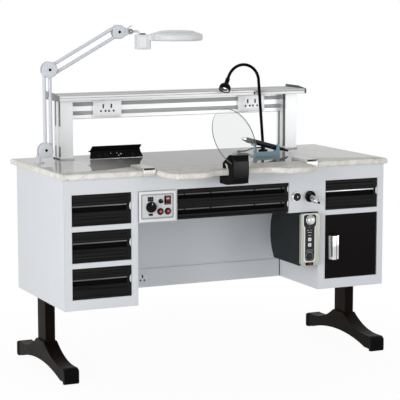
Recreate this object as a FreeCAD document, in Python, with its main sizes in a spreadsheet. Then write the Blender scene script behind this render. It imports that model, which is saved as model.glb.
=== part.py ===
"""Dental lab bench: steel pedestals on T-legs, stone top, rear frame, lamps and built-in units.

Millimetres, +Z up, +X to the user's right, +Y to the rear. The origin lies on the floor under the
middle of the stone top's outline. Every sub-part is one object of the document, and its sizes are
bound to the cells of the sheet called Sizes.
"""

import FreeCAD, Part
import math
import os
import types

import Sketcher

Vector = FreeCAD.Vector
Rotation = FreeCAD.Rotation

# Driving dimensions, in millimetres and degrees
SIZES = {
    # Stone top
    "top_width": 1400, "top_depth": 615, "top_thick": 24, "top_height": 800, "edge_round": 10,
    "front_overhang": 15, "side_overhang": 10,
    "lobe_reach": 145, "lobe_flank": 318, "lobe_root": 6, "lobe_corner": 60, "lobe_inner": 190,
    "bay_reach": 90, "bay_half": 90,
    # Steel cabinets
    "sheet": 2, "carcass_low": 280, "cabinet_width": 300, "cabinet_depth": 545,
    "frame_depth": 15, "apron_height": 56, "stile_left": 32, "stile_right": 26, "rail_height": 20,
    "drawer_opening": 120, "knee_depth": 335, "duct_tall": 75, "duct_depth": 40, "duct_proud": 4,
    # Legs
    "leg_inset": 22, "column_width": 40, "column_depth": 88, "foot_width": 56, "foot_half": 284,
    "foot_sole": 8, "foot_end": 60, "foot_crown": 118, "foot_arch": 32, "toe_length": 59,
    "cap_length": 22, "cap_height": 62, "cap_width": 60, "cap_step": 5,
    # Drawers
    "drawer_gap": 1.5, "front_thick": 18, "lip_height": 68, "grip_height": 13, "grip_depth": 12,
    "face_setback": 3, "flute_depth": 2.5, "flute_width": 5, "flute_pitch": 14,
    "box_wall": 2, "box_side_gap": 6, "box_floor": 8, "box_height": 85, "box_length": 440,
    "ledge_thick": 3, "ledge_under": 10,
    "control_width": 163, "fitting_width": 132, "centre_lip": 38, "centre_grip": 9,
    "centre_box_length": 298, "centre_box_height": 78, "centre_box_gap": 4, "centre_ledge": 14,
    # Door and handle
    "door_thick": 18, "pin_radius": 4, "pin_length": 8, "pin_clear": 0.05,
    "handle_x": 11, "handle_low": 74, "handle_width": 42, "handle_tall": 106, "handle_reach": 26,
    "handle_plate": 5, "handle_post": 12,
    # Control and fitting boxes either side of the centre drawer
    "fascia_height": 122, "fascia_depth": 300, "panel_proud": 5,
    "panel_side": 16, "panel_low": 9, "panel_high": 15,
    "dial_x": 52, "dial_z": 60, "dial_radius": 20, "dial_thick": 14, "shaft_radius": 3,
    "shaft_length": 14, "shaft_clear": 0.05, "knob_gap": 0.5,
    "knob_x": 91, "knob_z": 81, "knob_radius": 8, "knob_thick": 12,
    "rocker_x": 120, "rocker_z": 84, "rocker_width": 20, "rocker_height": 26,
    "rocker_depth": 12, "rocker_proud": 4, "rocker_clear": 0.6, "rocker_pin": 2,
    "rocker_pin_in": 3, "rocker_pin_out": 0.4,
    "button_left_x": 90, "button_right_x": 121, "button_z": 41, "button_radius": 10.5,
    "button_proud": 6, "button_depth": 10, "button_clear": 0.4,
    "coupling_x": 32, "holder_x": 89, "fitting_z": 64, "coupling_radius": 22, "coupling_out": 12,
    "coupling_bore": 9, "holder_radius": 23, "holder_out": 16, "holder_bore": 20, "holder_floor": 4,
    "gun_radius": 12.5, "gun_length": 58, "gun_tip": 4, "gun_droop": 24, "gun_swing": 20,
    # Motor control unit on the right cabinet
    "unit_width": 87, "unit_tall": 211, "unit_gap": 4, "unit_back": 215, "unit_belly": 250,
    "unit_wall": 3, "unit_front_out": 22, "unit_seam": 2, "unit_middle": 49, "unit_knob_drop": 25,
    "unit_knob_radius": 20, "unit_knob_out": 24, "key_upper_drop": 104, "key_lower_drop": 126,
    "key_size": 14, "key_out": 3, "key_depth": 8, "key_clear": 0.4,
    "unit_window": 57, "unit_window_depth": 2, "unit_window_low": 12, "unit_window_high": 4,
    # Suction mouth, fan box and glass shield
    "mouth_left": -58, "mouth_right": 8, "mouth_front": 148, "mouth_drop": 38, "mouth_rise": 56,
    "mouth_back": 24, "mouth_lip": 50, "mouth_lip_rise": 20, "mouth_crest": 108, "mouth_grip": 105,
    "mouth_round": 10, "mouth_nose": 8, "mouth_heel": 90, "mouth_slope": 9, "mouth_wall": 14,
    "mouth_web": 6, "mouth_inlet": 84, "mouth_throat": 10, "spigot_radius": 15, "spigot_wall": 3,
    "spigot_clear": 0.5, "fan_left": -130, "fan_right": 70, "fan_front": 60, "fan_back": 330, "fan_tall": 54,
    "shield_radius": 119, "shield_thick": 4, "shield_yaw": 25, "shield_lean": 23.7,
    "shield_x": -17, "shield_y": -68, "shield_rise": 116, "shield_clear": 0.1,
    # Rear frame
    "post_inset": 194, "post_width": 52, "post_depth": 80, "post_front": 460, "post_height": 238,
    "base_plate": 5, "base_plate_rim": 4, "slot_width": 8, "slot_depth": 6, "slot_inset": 18,
    "rail_front": 502, "rail_depth": 30, "rail_tall": 80, "rail_slot_low": 16, "rail_slot_high": 52,
    "rail_slot": 16, "rail_slot_depth": 8, "shelf_beyond": 44, "shelf_front": 420, "shelf_back": 595,
    "shelf_thick": 20, "cap_lip": 20, "cap_crest": 490, "cap_tall": 29, "end_cap": 8,
    "outlet_left": 188, "outlet_right": 171, "outlet_width": 124, "outlet_low": 5, "outlet_height": 70,
    "outlet_thick": 9,
    # Balanced-arm magnifier lamp
    "lamp_y": 398, "lamp_inset": 54, "lamp_rod": 6, "lamp_rod_depth": 22, "lamp_rod_clear": 0.05,
    "lamp_flange": 20, "lamp_flange_high": 4, "lamp_base_dx": 26, "lamp_base_rise": 50,
    "lamp_block_low": 20, "lamp_block_high": 30, "lamp_block_half": 8, "base_disc": 30,
    "lower_dx": -2, "lower_dz": 301, "pin_ahead": 12.5, "pin_fall": 8, "bar_half": 12,
    "bar_radius": 7, "eye_radius": 8, "eye_half": 8,
    "lamp_pin": 3, "lamp_pin_clear": 0.05, "cheek_gap": 0.5, "cheek_thick": 4,
    "elbow_disc": 32, "elbow_dx": 19, "elbow_lift": 15.5, "near_dx": 20, "near_drop": 17.1,
    "far_back": 4.2, "far_rise": 7.7, "upper_dx": 286.4, "upper_dz": 156.1, "bracket_disc": 28,
    "bracket_drop": 8, "knuckle_dx": 48, "knuckle_rise": 1,
    "knuckle_radius": 12, "knuckle_pin": 4, "wing_stem": 6, "wing_width": 8, "wing_thick": 5,
    "wing_height": 24, "neck_half": 7, "neck_drop": 16,
    "housing_dx": 27.7, "housing_bite": 12, "housing_wide": 59, "housing_depth": 44, "housing_tall": 60,
    "housing_drop": 11.9, "housing_round": 6, "bridge_half": 27, "bridge_step": 2,
    "head_dx": 177, "head_drop": 27, "head_radius": 108,
    "head_rim": 34, "head_round": 6, "head_lip": 3, "lens_radius": 65.7, "lens_clear": 0.05,
    "lens_low": 22, "lens_edge": 6, "lens_dome": 9, "lens_seat": 3,
    "lamp_button_dx": 30, "lamp_button_long": 20, "lamp_button_wide": 10, "lamp_button_out": 4,
    "lamp_button_depth": 6, "lamp_button_travel": 3, "lamp_button_clear": 0.3,
    # Gooseneck lamp and its lead
    "goose_x": 347.5, "goose_y": 408, "goose_foot": 20, "goose_foot_high": 10, "goose_collar": 9,
    "goose_collar_high": 26, "neck_socket": 3, "neck_tube": 6.2, "neck_lean": 4.6, "neck_straight": 279,
    "neck_bend": 71, "neck_turn": 146, "neck_nod_bend": 60, "neck_nod": 20,
    "bell_neck": 9, "bell_mouth": 24, "bell_length": 58, "bell_wall": 2, "bell_depth": 12,
    "lead_radius": 3, "lead_exit": 18, "lead_first": 38, "lead_second": 60, "lead_third": 78,
    "lead_last": 95, "lead_drift": 3, "plug_radius": 4.5, "plug_length": 24,
    # Handpiece and its cradle
    "cradle_x": 286.7, "cradle_y": 275.6, "cradle_yaw": 6, "cradle_long": 125, "cradle_deep": 44,
    "cradle_floor": 6, "cradle_floor_back": 12, "cradle_plate": 10, "cradle_side_high": 17,
    "horn_base": 15, "horn_tip": 6, "horn_lean": 3, "peg_wide": 10, "peg_tall": 10, "peg_back": 7,
    "cradle_tall_left": 53, "cradle_notch_left": 53, "cradle_tall_right": 48, "cradle_notch_right": 20,
    "grip_tip_dx": 114.9, "grip_tip_y": 263.5, "grip_tip_rise": 76.7, "grip_droop": 15.4, "grip_radius": 11,
    "grip_clear": 0.05, "grip_nose": 3, "grip_nose_length": 32, "grip_body": 190, "grip_length": 242,
    "tail_radius": 4,
    # Desk-top socket with its folding lid
    "socket_left": -412, "socket_right": -186, "socket_front": 430, "socket_rim": 4,
    "socket_slope": 28, "socket_heel": 12, "socket_flange": 3, "socket_rise": 19, "socket_ear": 6,
    "lid_back": 6, "lid_up": 6, "lid_pin": 2, "lid_pin_clear": 0.05, "lid_barrel": 3.5, "lid_gap": 0.5,
    "lid_thick": 4, "lid_reach": 36, "lid_open": 38,
    # Arm-rest sleeves
    "sleeve_beyond": 32, "sleeve_width": 50, "sleeve_high": 10, "sleeve_long": 130, "sleeve_wall": 2,
    "sleeve_lip": 5, "sleeve_drop": 22,
}

doc = FreeCAD.newDocument("dental_lab_bench")
sheet = doc.addObject("Spreadsheet::Sheet", "Sizes")
for row, (alias, number) in enumerate(SIZES.items(), start=1):
    sheet.set(f"A{row}", alias)
    sheet.set(f"B{row}", str(number))
    sheet.setAlias(f"B{row}", alias)
doc.recompute()


class Size:
    """A length that carries its number and the sheet formula that gives it."""

    def __init__(self, text, value):
        self.text = text
        self.value = value

    def __add__(self, other):
        other = as_size(other)
        return Size(f"({self.text} + {other.text})", self.value + other.value)

    def __sub__(self, other):
        other = as_size(other)
        return Size(f"({self.text} - {other.text})", self.value - other.value)

    def __mul__(self, other):
        other = as_size(other)
        return Size(f"({self.text} * {other.text})", self.value * other.value)

    def __truediv__(self, other):
        other = as_size(other)
        return Size(f"({self.text} / {other.text})", self.value / other.value)

    def __radd__(self, other):
        return as_size(other) + self

    def __rsub__(self, other):
        return as_size(other) - self

    def __rmul__(self, other):
        return as_size(other) * self

    def __neg__(self):
        return Size(f"(0 - {self.text})", -self.value)


def as_size(number):
    if isinstance(number, Size):
        return number
    return Size(f"({float(number)})", float(number))


def length_of(*legs):
    """Straight distance covered by the given legs."""
    legs = [as_size(leg) for leg in legs]
    text = " + ".join(f"{leg.text}^2" for leg in legs)
    return Size(f"sqrt({text})", math.hypot(*[leg.value for leg in legs]))


d = types.SimpleNamespace(**{name: Size(f"Sizes.{name}", number) for name, number in SIZES.items()})

NODES = []


def keep(piece):
    """Marks an object as a sub-part of its own, whose label names its file."""
    NODES.append(piece)
    return piece


def bind(piece, path, size):
    piece.setExpression(path, as_size(size).text)


def place(piece, at, turn=None):
    """Puts an object's origin at a bound point, turned by a rotation."""
    if turn is not None:
        piece.Placement = FreeCAD.Placement(Vector(), turn)
    for axis, size in zip("xyz", at):
        bind(piece, f".Placement.Base.{axis}", size)
    return piece


def slab(name, x, y, z):
    """A box between two bound corners."""
    piece = doc.addObject("Part::Box", name)
    for side, (low, high) in zip(("Length", "Width", "Height"), (x, y, z)):
        bind(piece, side, as_size(high) - low)
    return place(piece, (x[0], y[0], z[0]))


ALONG = {
    "+x": Rotation(Vector(0, 1, 0), 90),
    "-x": Rotation(Vector(0, 1, 0), -90),
    "+y": Rotation(Vector(1, 0, 0), -90),
    "-y": Rotation(Vector(1, 0, 0), 90),
    "+z": Rotation(),
}


def rod(name, radius, at, length, along):
    """A cylinder that starts at a point and runs along a direction."""
    piece = doc.addObject("Part::Cylinder", name)
    bind(piece, "Radius", radius)
    bind(piece, "Height", length)
    turn = along if isinstance(along, Rotation) else ALONG[along]
    return place(piece, at, turn)


def group(name, *pieces):
    """Separate solids that form one sub-part."""
    piece = doc.addObject("Part::Compound", name)
    piece.Links = list(pieces)
    return piece


def fuse(name, *pieces):
    piece = doc.addObject("Part::MultiFuse", name)
    piece.Shapes = list(pieces)
    piece.Refine = True
    return piece


def cut(name, base, *tools):
    piece = doc.addObject("Part::Cut", name)
    piece.Base = base
    piece.Tool = tools[0] if len(tools) == 1 else group(f"{name}_tools", *tools)
    return piece


def arc_edge(start, end, radius, turn):
    """Arc from start to end that turns left (+1) or right (-1), drawn anticlockwise for a sketch."""
    chord = end - start
    left = Vector(-chord.y, chord.x, 0).normalize()
    rise = math.sqrt(max(radius ** 2 - (chord.Length / 2) ** 2, 0))
    centre = (start + end) / 2 + left * rise * turn
    first, last = (start, end) if turn > 0 else (end, start)
    angles = [math.atan2(p.y - centre.y, p.x - centre.x) for p in (first, last)]
    if angles[1] < angles[0]:
        angles[1] += 2 * math.pi
    return Part.ArcOfCircle(Part.Circle(centre, Vector(0, 0, 1), radius), *angles)


def draw(body, plane, outline):
    """Closed sketch. A corner is (a, b), or (a, b, radius, turn) where an arc leads to the next one."""
    sketch = body.newObject("Sketcher::SketchObject", f"{body.Name}_sketch")
    origin = next(item for item in body.Origin.OriginFeatures if item.Role == plane)
    sketch.AttachmentSupport = [(origin, "")]
    sketch.MapMode = "FlatFace"
    corners = [tuple(as_size(number) for number in corner[:3]) + tuple(corner[3:]) for corner in outline]
    points = [Vector(corner[0].value, corner[1].value, 0) for corner in corners]
    count = len(corners)
    for index, corner in enumerate(corners):
        start, end = points[index], points[(index + 1) % count]
        if len(corner) == 2:
            sketch.addGeometry(Part.LineSegment(start, end))
        else:
            sketch.addGeometry(arc_edge(start, end, corner[2].value, corner[3]))
    clockwise = [len(corner) == 4 and corner[3] < 0 for corner in corners]
    for index, corner in enumerate(corners):
        following = (index + 1) % count
        end_side = 1 if clockwise[index] else 2
        start_side = 2 if clockwise[following] else 1
        joint = Sketcher.Constraint("Coincident", index, end_side, following, start_side)
        sketch.addConstraint(joint)
    for index, corner in enumerate(corners):
        own_side = 2 if clockwise[index] else 1
        for kind, size in zip(("DistanceX", "DistanceY"), corner):
            number = sketch.addConstraint(Sketcher.Constraint(kind, -1, 1, index, own_side, size.value))
            bind(sketch, f"Constraints[{number}]", size)
        if len(corner) == 4:
            number = sketch.addConstraint(Sketcher.Constraint("Radius", index, corner[2].value))
            bind(sketch, f"Constraints[{number}]", corner[2])
    return sketch


def extrude(name, plane, outline, span):
    """Pad of an outline between two places along the plane's normal."""
    low, high = as_size(span[0]), as_size(span[1])
    body = doc.addObject("PartDesign::Body", name)
    pad = body.newObject("PartDesign::Pad", f"{name}_pad")
    pad.Profile = draw(body, plane, outline)
    bind(pad, "Length", high - low)
    axis = {"YZ_Plane": "x", "XZ_Plane": "y", "XY_Plane": "z"}[plane]
    bind(body, f".Placement.Base.{axis}", high if plane == "XZ_Plane" else low)
    return body


def turned(name, outline, at, along="+z"):
    """Lathe-turned piece. The outline is (radius, height) about an axis along the given direction."""
    body = doc.addObject("PartDesign::Body", name)
    revolution = body.newObject("PartDesign::Revolution", f"{name}_turn")
    sketch = draw(body, "XZ_Plane", outline)
    revolution.Profile = sketch
    revolution.ReferenceAxis = (sketch, ["V_Axis"])
    revolution.Angle = 360
    turn = along if isinstance(along, Rotation) else ALONG[along]
    return place(body, at, turn)


def round_all(body, radius):
    """Rounds every edge of a body's last feature."""
    solid = body.Tip
    fillet = body.newObject("PartDesign::Fillet", f"{body.Name}_round")
    fillet.Base = (solid, [""])
    fillet.UseAllEdges = True
    bind(fillet, "Radius", radius)
    return body


# Reference planes of the carcass
FRONT = (d.lobe_reach - d.top_depth) / 2 + d.front_overhang
TOP_EDGE = FRONT - d.front_overhang
TOP_BACK = TOP_EDGE + d.top_depth
TOP = d.top_height
UNDER = TOP - d.top_thick
SIDE = d.top_width / 2 - d.side_overhang
INNER = SIDE - d.cabinet_width
CABINET_BACK = FRONT + d.cabinet_depth
FRAME_BACK = FRONT + d.frame_depth
FLOOR_PANEL = d.carcass_low + d.sheet
APRON_LOW = UNDER - d.apron_height
FASCIA_LOW = APRON_LOW - d.fascia_height
DUCT_TOP = d.carcass_low + d.duct_tall
LEG_X = SIDE - d.leg_inset
LEDGE_FRONT = FRONT + d.front_thick + d.drawer_gap


# Legs: a box column welded on a splayed foot, one at each end

def make_leg(name, x):
    half = d.column_depth / 2
    middle = FRONT + d.cabinet_depth / 2
    end = d.foot_half - d.cap_length
    toe = d.foot_half - d.toe_length
    span = toe - half
    fall = d.foot_crown - d.foot_end
    swoop = (length_of(span, fall) * length_of(span, fall)) / (2 * fall)
    arch = (toe * toe + d.foot_arch * d.foot_arch) / (2 * d.foot_arch)
    outline = [
        (-end, d.foot_sole), (-toe, d.foot_sole, arch, -1), (toe, d.foot_sole), (end, d.foot_sole),
        (end, d.foot_end), (toe, d.foot_end, swoop, -1), (half, d.foot_crown),
        (-half, d.foot_crown, swoop, -1), (-toe, d.foot_end), (-end, d.foot_end),
    ]
    foot = extrude(f"{name}_foot", "YZ_Plane", outline, (x - d.foot_width / 2, x + d.foot_width / 2))
    bind(foot, ".Placement.Base.y", middle)
    column = slab(f"{name}_column", (x - d.column_width / 2, x + d.column_width / 2),
                  (middle - half, middle + half), (d.foot_crown, d.carcass_low))
    return fuse(name, foot, column)


def make_foot_cap(name, x, way):
    middle = FRONT + d.cabinet_depth / 2
    inside = d.foot_half - d.cap_length
    toe = d.foot_half - d.toe_length
    outline = [
        (toe, 0), (d.foot_half - d.cap_step, 0), (d.foot_half, d.cap_step),
        (d.foot_half, d.cap_height - 2 * d.cap_step), (d.foot_half - d.cap_step, d.cap_height - d.cap_step),
        (d.foot_half - d.cap_step, d.cap_height), (inside, d.cap_height),
        (inside, d.foot_sole), (toe, d.foot_sole),
    ]
    if way < 0:
        outline = [(-a, b) for a, b in reversed(outline)]
    cap = extrude(name, "YZ_Plane", outline, (x - d.cap_width / 2, x + d.cap_width / 2))
    bind(cap, ".Placement.Base.y", middle)
    return cap


keep(group("legs", make_leg("left_leg", -LEG_X), make_leg("right_leg", LEG_X)))
keep(group("foot_caps", *[
    make_foot_cap(f"{end}_{side}_cap", x, way)
    for side, x in (("left", -LEG_X), ("right", LEG_X))
    for end, way in (("front", -1), ("rear", 1))
]))


# Cabinets: folded steel sides, back and bottom, with ledges that carry the drawers

LEFT_OPENING = (-SIDE + d.stile_left, -INNER - d.stile_right)
RIGHT_OPENING = (INNER + d.stile_left, SIDE - d.stile_right)


def opening_low(index):
    """Lower edge of the drawer opening, counted from the top."""
    return APRON_LOW - d.drawer_opening * (index + 1) - d.rail_height * index


def make_ledges(name, opening, walls, index):
    top = opening_low(index) + d.box_floor
    reach = d.box_side_gap + d.ledge_under
    spans = ((walls[0], opening[0] + reach), (opening[1] - reach, walls[1]))
    return [
        slab(f"{name}_ledge_{index}_{hand}", span, (LEDGE_FRONT, FRONT + d.box_length),
             (top - d.ledge_thick, top))
        for hand, span in zip(("left", "right"), spans)
    ]


def make_panels(name, outer, inner, opening, drawer_count):
    """Sheets and ledges of one cabinet. The outer and inner sides are given as (low, high) in x."""
    left, right = (outer, inner) if name == "left_cabinet" else (inner, outer)
    walls = (left[1], right[0])
    height = (d.carcass_low, UNDER)
    inside = (FRAME_BACK, CABINET_BACK - d.sheet)
    panels = [
        slab(f"{name}_outer", outer, (FRONT, CABINET_BACK), height),
        slab(f"{name}_inner", inner, (FRAME_BACK, CABINET_BACK), height),
        slab(f"{name}_back", walls, (CABINET_BACK - d.sheet, CABINET_BACK), height),
        slab(f"{name}_floor", walls, inside, (d.carcass_low, FLOOR_PANEL)),
    ]
    for index in range(drawer_count):
        panels += make_ledges(name, opening, walls, index)
    if drawer_count == 1:
        shelf = opening_low(0) - d.rail_height / 2
        panels.append(slab(f"{name}_divider", walls, inside, (shelf - d.sheet, shelf)))
    return panels


def make_frame(name, edges, opening, rails):
    """Stiles beside an opening, and rails between them at the given (low, high)."""
    depth = (FRONT, FRAME_BACK)
    tall = (d.carcass_low, APRON_LOW)
    stiles = [
        slab(f"{name}_stile_left", (edges[0], opening[0]), depth, tall),
        slab(f"{name}_stile_right", (opening[1], edges[1]), depth, tall),
    ]
    return stiles, [slab(f"{name}_rail_{index}", opening, depth, rail) for index, rail in enumerate(rails)]


def rail_under(index):
    return (opening_low(index) - d.rail_height, opening_low(index))


FRAME_FOOT = (d.carcass_low, opening_low(2))
left_panels = make_panels("left_cabinet", (-SIDE, -SIDE + d.sheet), (-INNER - d.sheet, -INNER),
                          LEFT_OPENING, 3)
left_stiles, left_rails = make_frame("left_frame", (-SIDE + d.sheet, -INNER), LEFT_OPENING,
                                     (rail_under(0), rail_under(1), FRAME_FOOT))
keep(group("left_cabinet", *left_panels, *left_stiles, *left_rails))

# The door turns on two pins in the rails above and below it
DOOR_AXIS = (RIGHT_OPENING[1] - d.drawer_gap - d.door_thick / 2, FRONT + d.door_thick / 2)
DOOR_LOW = opening_low(2) + d.drawer_gap
DOOR_HIGH = opening_low(0) - d.rail_height - d.drawer_gap
PIN_REACH = d.drawer_gap + d.pin_length


def door_pin(name, radius, reach):
    """Upper and lower pivot pin, or the bore for each."""
    return [
        rod(f"{name}_top", radius, (*DOOR_AXIS, DOOR_HIGH), reach, "+z"),
        rod(f"{name}_low", radius, (*DOOR_AXIS, DOOR_LOW - reach), reach, "+z"),
    ]


right_panels = make_panels("right_cabinet", (SIDE - d.sheet, SIDE), (INNER, INNER + d.sheet),
                           RIGHT_OPENING, 1)
right_stiles, right_rails = make_frame("right_frame", (INNER, SIDE - d.sheet), RIGHT_OPENING,
                                       (rail_under(0), FRAME_FOOT))
bores = door_pin("door_bore", d.pin_radius + d.pin_clear, PIN_REACH + d.pin_clear)
bored_rails = [
    cut(f"right_frame_bored_{index}", *pair) for index, pair in enumerate(zip(right_rails, bores))
]
keep(group("right_cabinet", *right_panels, *right_stiles, *bored_rails))


# Apron under the top, pierced for the suction spigot, and the knee-space back with its cable duct

MOUTH_MIDDLE = (d.mouth_left + d.mouth_right) / 2
MOUTH_LOW = UNDER - d.mouth_drop
MOUTH_HIGH = TOP + d.mouth_rise
SPIGOT_Z = (MOUTH_LOW + UNDER) / 2
apron = slab("apron_blank", (-SIDE + d.sheet, SIDE - d.sheet), (FRONT, FRAME_BACK), (APRON_LOW, UNDER))
apron_hole = rod("apron_hole", d.spigot_radius + d.spigot_clear, (MOUTH_MIDDLE, FRONT, SPIGOT_Z),
                 d.frame_depth, "+y")
keep(cut("front_apron", apron, apron_hole))

KNEE = FRONT + d.knee_depth
DUCT_FRONT = KNEE - d.duct_proud
knee_sheet = slab("knee_sheet", (-INNER, INNER), (KNEE, KNEE + d.sheet), (DUCT_TOP, UNDER))
duct_blank = slab("duct_blank", (-INNER, INNER), (DUCT_FRONT, DUCT_FRONT + d.duct_depth),
                  (d.carcass_low, DUCT_TOP))
duct_hollow = slab("duct_hollow", (-INNER, INNER),
                   (DUCT_FRONT + d.sheet, DUCT_FRONT + d.duct_depth - d.sheet),
                   (d.carcass_low + d.sheet, DUCT_TOP - d.sheet))
keep(group("knee_panel", knee_sheet, cut("cable_duct", duct_blank, duct_hollow)))


# Stone top: bullnosed slab with two arm-rest lobes, a bay, and a hole for the lamp

LOBE = TOP_EDGE - d.lobe_reach
BAY = TOP_EDGE - d.bay_reach
sway_x = (d.lobe_inner - d.bay_half) / 2
sway_y = (d.lobe_reach - d.bay_reach) / 2
sway = (sway_x * sway_x + sway_y * sway_y) / (2 * sway_y)
middle_x = (d.lobe_inner + d.bay_half) / 2
middle_y = (LOBE + BAY) / 2
half_front = [
    (d.lobe_flank + d.lobe_root, TOP_EDGE),
    (d.lobe_flank, TOP_EDGE - d.lobe_root),
    (d.lobe_flank, LOBE + d.lobe_corner),
    (d.lobe_flank - d.lobe_corner, LOBE),
    (d.lobe_inner, LOBE),
    (middle_x, middle_y),
    (d.bay_half, BAY),
]
arcs = {0: (d.lobe_root, 1), 2: (d.lobe_corner, -1), 4: (sway, -1), 5: (sway, 1)}
right_side = [(*point, arcs[i][0], arcs[i][1]) if i in arcs else point for i, point in enumerate(half_front)]
left_side = []
for i, (a, b) in reversed(list(enumerate(half_front))):
    arc = arcs.get(i - 1)
    left_side.append((-a, b, arc[0], arc[1]) if arc else (-a, b))
top_outline = [
    (-d.top_width / 2, TOP_BACK), (d.top_width / 2, TOP_BACK), (d.top_width / 2, TOP_EDGE),
    *right_side, *left_side, (-d.top_width / 2, TOP_EDGE),
]
slab_body = extrude("top_slab", "XY_Plane", top_outline, (UNDER, TOP))
doc.recompute()
top_pad = slab_body.Tip
flat_faces = [
    f"Face{number}" for number, face in enumerate(top_pad.Shape.Faces, start=1)
    if abs(face.normalAt(0, 0).z) > 0.9
]
nosing = slab_body.newObject("PartDesign::Fillet", "top_nosing")
nosing.Base = (top_pad, flat_faces)
bind(nosing, "Radius", d.edge_round)

LAMP_Y = FRONT + d.lamp_y
LAMP_FOOT_X = d.lamp_inset - d.top_width / 2
lamp_hole = rod("lamp_hole", d.lamp_rod + d.lamp_rod_clear, (LAMP_FOOT_X, LAMP_Y, UNDER), d.top_thick, "+z")
keep(cut("worktop", slab_body, lamp_hole))


# Arm-rest sleeves: flat chrome sockets on the front edge, with a plate over the stone's nose

def make_sleeve(name, x):
    half = d.sleeve_width / 2
    front = TOP_EDGE - d.sleeve_lip
    shell = slab(f"{name}_shell", (x - half, x + half), (front, front + d.sleeve_long),
                 (TOP, TOP + d.sleeve_high))
    bore = slab(f"{name}_bore", (x - half + d.sleeve_wall, x + half - d.sleeve_wall),
                (front, front + d.sleeve_long - d.sleeve_wall),
                (TOP + d.sleeve_wall, TOP + d.sleeve_high - d.sleeve_wall))
    plate = slab(f"{name}_plate", (x - half, x + half), (front, TOP_EDGE), (TOP - d.sleeve_drop, TOP))
    return fuse(name, cut(f"{name}_tube", shell, bore), plate)


SLEEVE_X = d.lobe_flank + d.sleeve_beyond
keep(group("armrest_sleeves", make_sleeve("left_sleeve", -SLEEVE_X), make_sleeve("right_sleeve", SLEEVE_X)))


# Control box and fitting box that hang under the apron either side of the centre drawer

CENTRE = (-INNER + d.control_width, INNER - d.fitting_width)
FASCIA_BACK = FRONT + d.fascia_depth
FASCIA_Z = (FASCIA_LOW, APRON_LOW)
PANEL_FACE = FRONT - d.panel_proud


def make_fascia_box(name, x):
    shell = slab(f"{name}_shell", x, (FRONT, FASCIA_BACK), FASCIA_Z)
    hollow = slab(f"{name}_hollow", (x[0] + d.sheet, x[1] - d.sheet), (FRONT + d.sheet, FASCIA_BACK),
                  (FASCIA_LOW + d.sheet, APRON_LOW - d.sheet))
    return cut(f"{name}_box", shell, hollow)


CONTROL_X = (-INNER, CENTRE[0])
FITTING_X = (CENTRE[1], INNER)
panel_plate = slab("panel_plate", (CONTROL_X[0] + d.panel_side, CONTROL_X[1] - d.panel_side),
                   (PANEL_FACE, FRONT), (FASCIA_LOW + d.panel_low, APRON_LOW - d.panel_high))
control_blank = fuse("control_blank", make_fascia_box("control", CONTROL_X), panel_plate)
DIAL = (CONTROL_X[0] + d.dial_x, FASCIA_LOW + d.dial_z)
KNOB = (CONTROL_X[0] + d.knob_x, FASCIA_LOW + d.knob_z)
ROCKER = (CONTROL_X[0] + d.rocker_x, FASCIA_LOW + d.rocker_z)
LEFT_BUTTON = (CONTROL_X[0] + d.button_left_x, FASCIA_LOW + d.button_z)
RIGHT_BUTTON = (CONTROL_X[0] + d.button_right_x, FASCIA_LOW + d.button_z)
hole_start = PANEL_FACE
hole_depth = d.panel_proud + d.sheet
shaft_hole = d.shaft_radius + d.shaft_clear
button_hole = d.button_radius + d.button_clear
rocker_half_x = d.rocker_width / 2 + d.rocker_clear
rocker_half_z = d.rocker_height / 2 + d.rocker_clear
control_holes = [
    rod("dial_hole", shaft_hole, (DIAL[0], hole_start, DIAL[1]), hole_depth, "+y"),
    rod("knob_hole", shaft_hole, (KNOB[0], hole_start, KNOB[1]), hole_depth, "+y"),
    rod("button_left_hole", button_hole, (LEFT_BUTTON[0], hole_start, LEFT_BUTTON[1]), hole_depth, "+y"),
    rod("button_right_hole", button_hole, (RIGHT_BUTTON[0], hole_start, RIGHT_BUTTON[1]), hole_depth, "+y"),
    slab("rocker_hole", (ROCKER[0] - rocker_half_x, ROCKER[0] + rocker_half_x),
         (PANEL_FACE, FRONT + d.sheet), (ROCKER[1] - rocker_half_z, ROCKER[1] + rocker_half_z)),
]
control_box = cut("control_box", control_blank, *control_holes)
fitting_box = make_fascia_box("fitting", FITTING_X)
CENTRE_LEDGE = opening_low(0) + d.box_floor + d.box_floor
centre_ledges = [
    slab(f"centre_ledge_{hand}", span, (LEDGE_FRONT, FASCIA_BACK),
         (CENTRE_LEDGE - d.ledge_thick, CENTRE_LEDGE))
    for hand, span in (("left", (CENTRE[0], CENTRE[0] + d.centre_ledge)),
                       ("right", (CENTRE[1] - d.centre_ledge, CENTRE[1])))
]
keep(group("fascia_boxes", control_box, fitting_box, *centre_ledges))


# Drawers: a fluted black front with a finger grip, on an open steel box

def front_outline(height, lip, grip, flutes_below, flutes_above):
    """Section of a drawer front, from its face (y = 0) to its back."""
    face = d.face_setback
    outline = [(d.front_thick, 0), (face, 0)]

    def flute(z):
        return [(face, z), (face + d.flute_depth, z + d.flute_width / 2), (face, z + d.flute_width)]

    for index in range(flutes_below):
        outline += flute(d.flute_pitch * index + d.flute_pitch / 2)
    under_lip = lip - grip
    outline += [(face, under_lip), (face + d.grip_depth, under_lip), (face + d.grip_depth, lip), (0, lip)]
    outline += [(0, lip + d.flute_width), (face, lip + 2 * d.flute_width)]
    for index in range(flutes_above):
        outline += flute(lip + d.flute_pitch * (index + 1))
    outline += [(face, height), (d.front_thick, height)]
    return outline[::-1]


def make_front(name, opening, z, lip, grip, flutes_below, flutes_above):
    outline = front_outline(z[1] - z[0], lip, grip, flutes_below, flutes_above)
    front = extrude(name, "YZ_Plane", outline, (opening[0] + d.drawer_gap, opening[1] - d.drawer_gap))
    bind(front, ".Placement.Base.y", FRONT)
    bind(front, ".Placement.Base.z", z[0])
    return front


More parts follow.
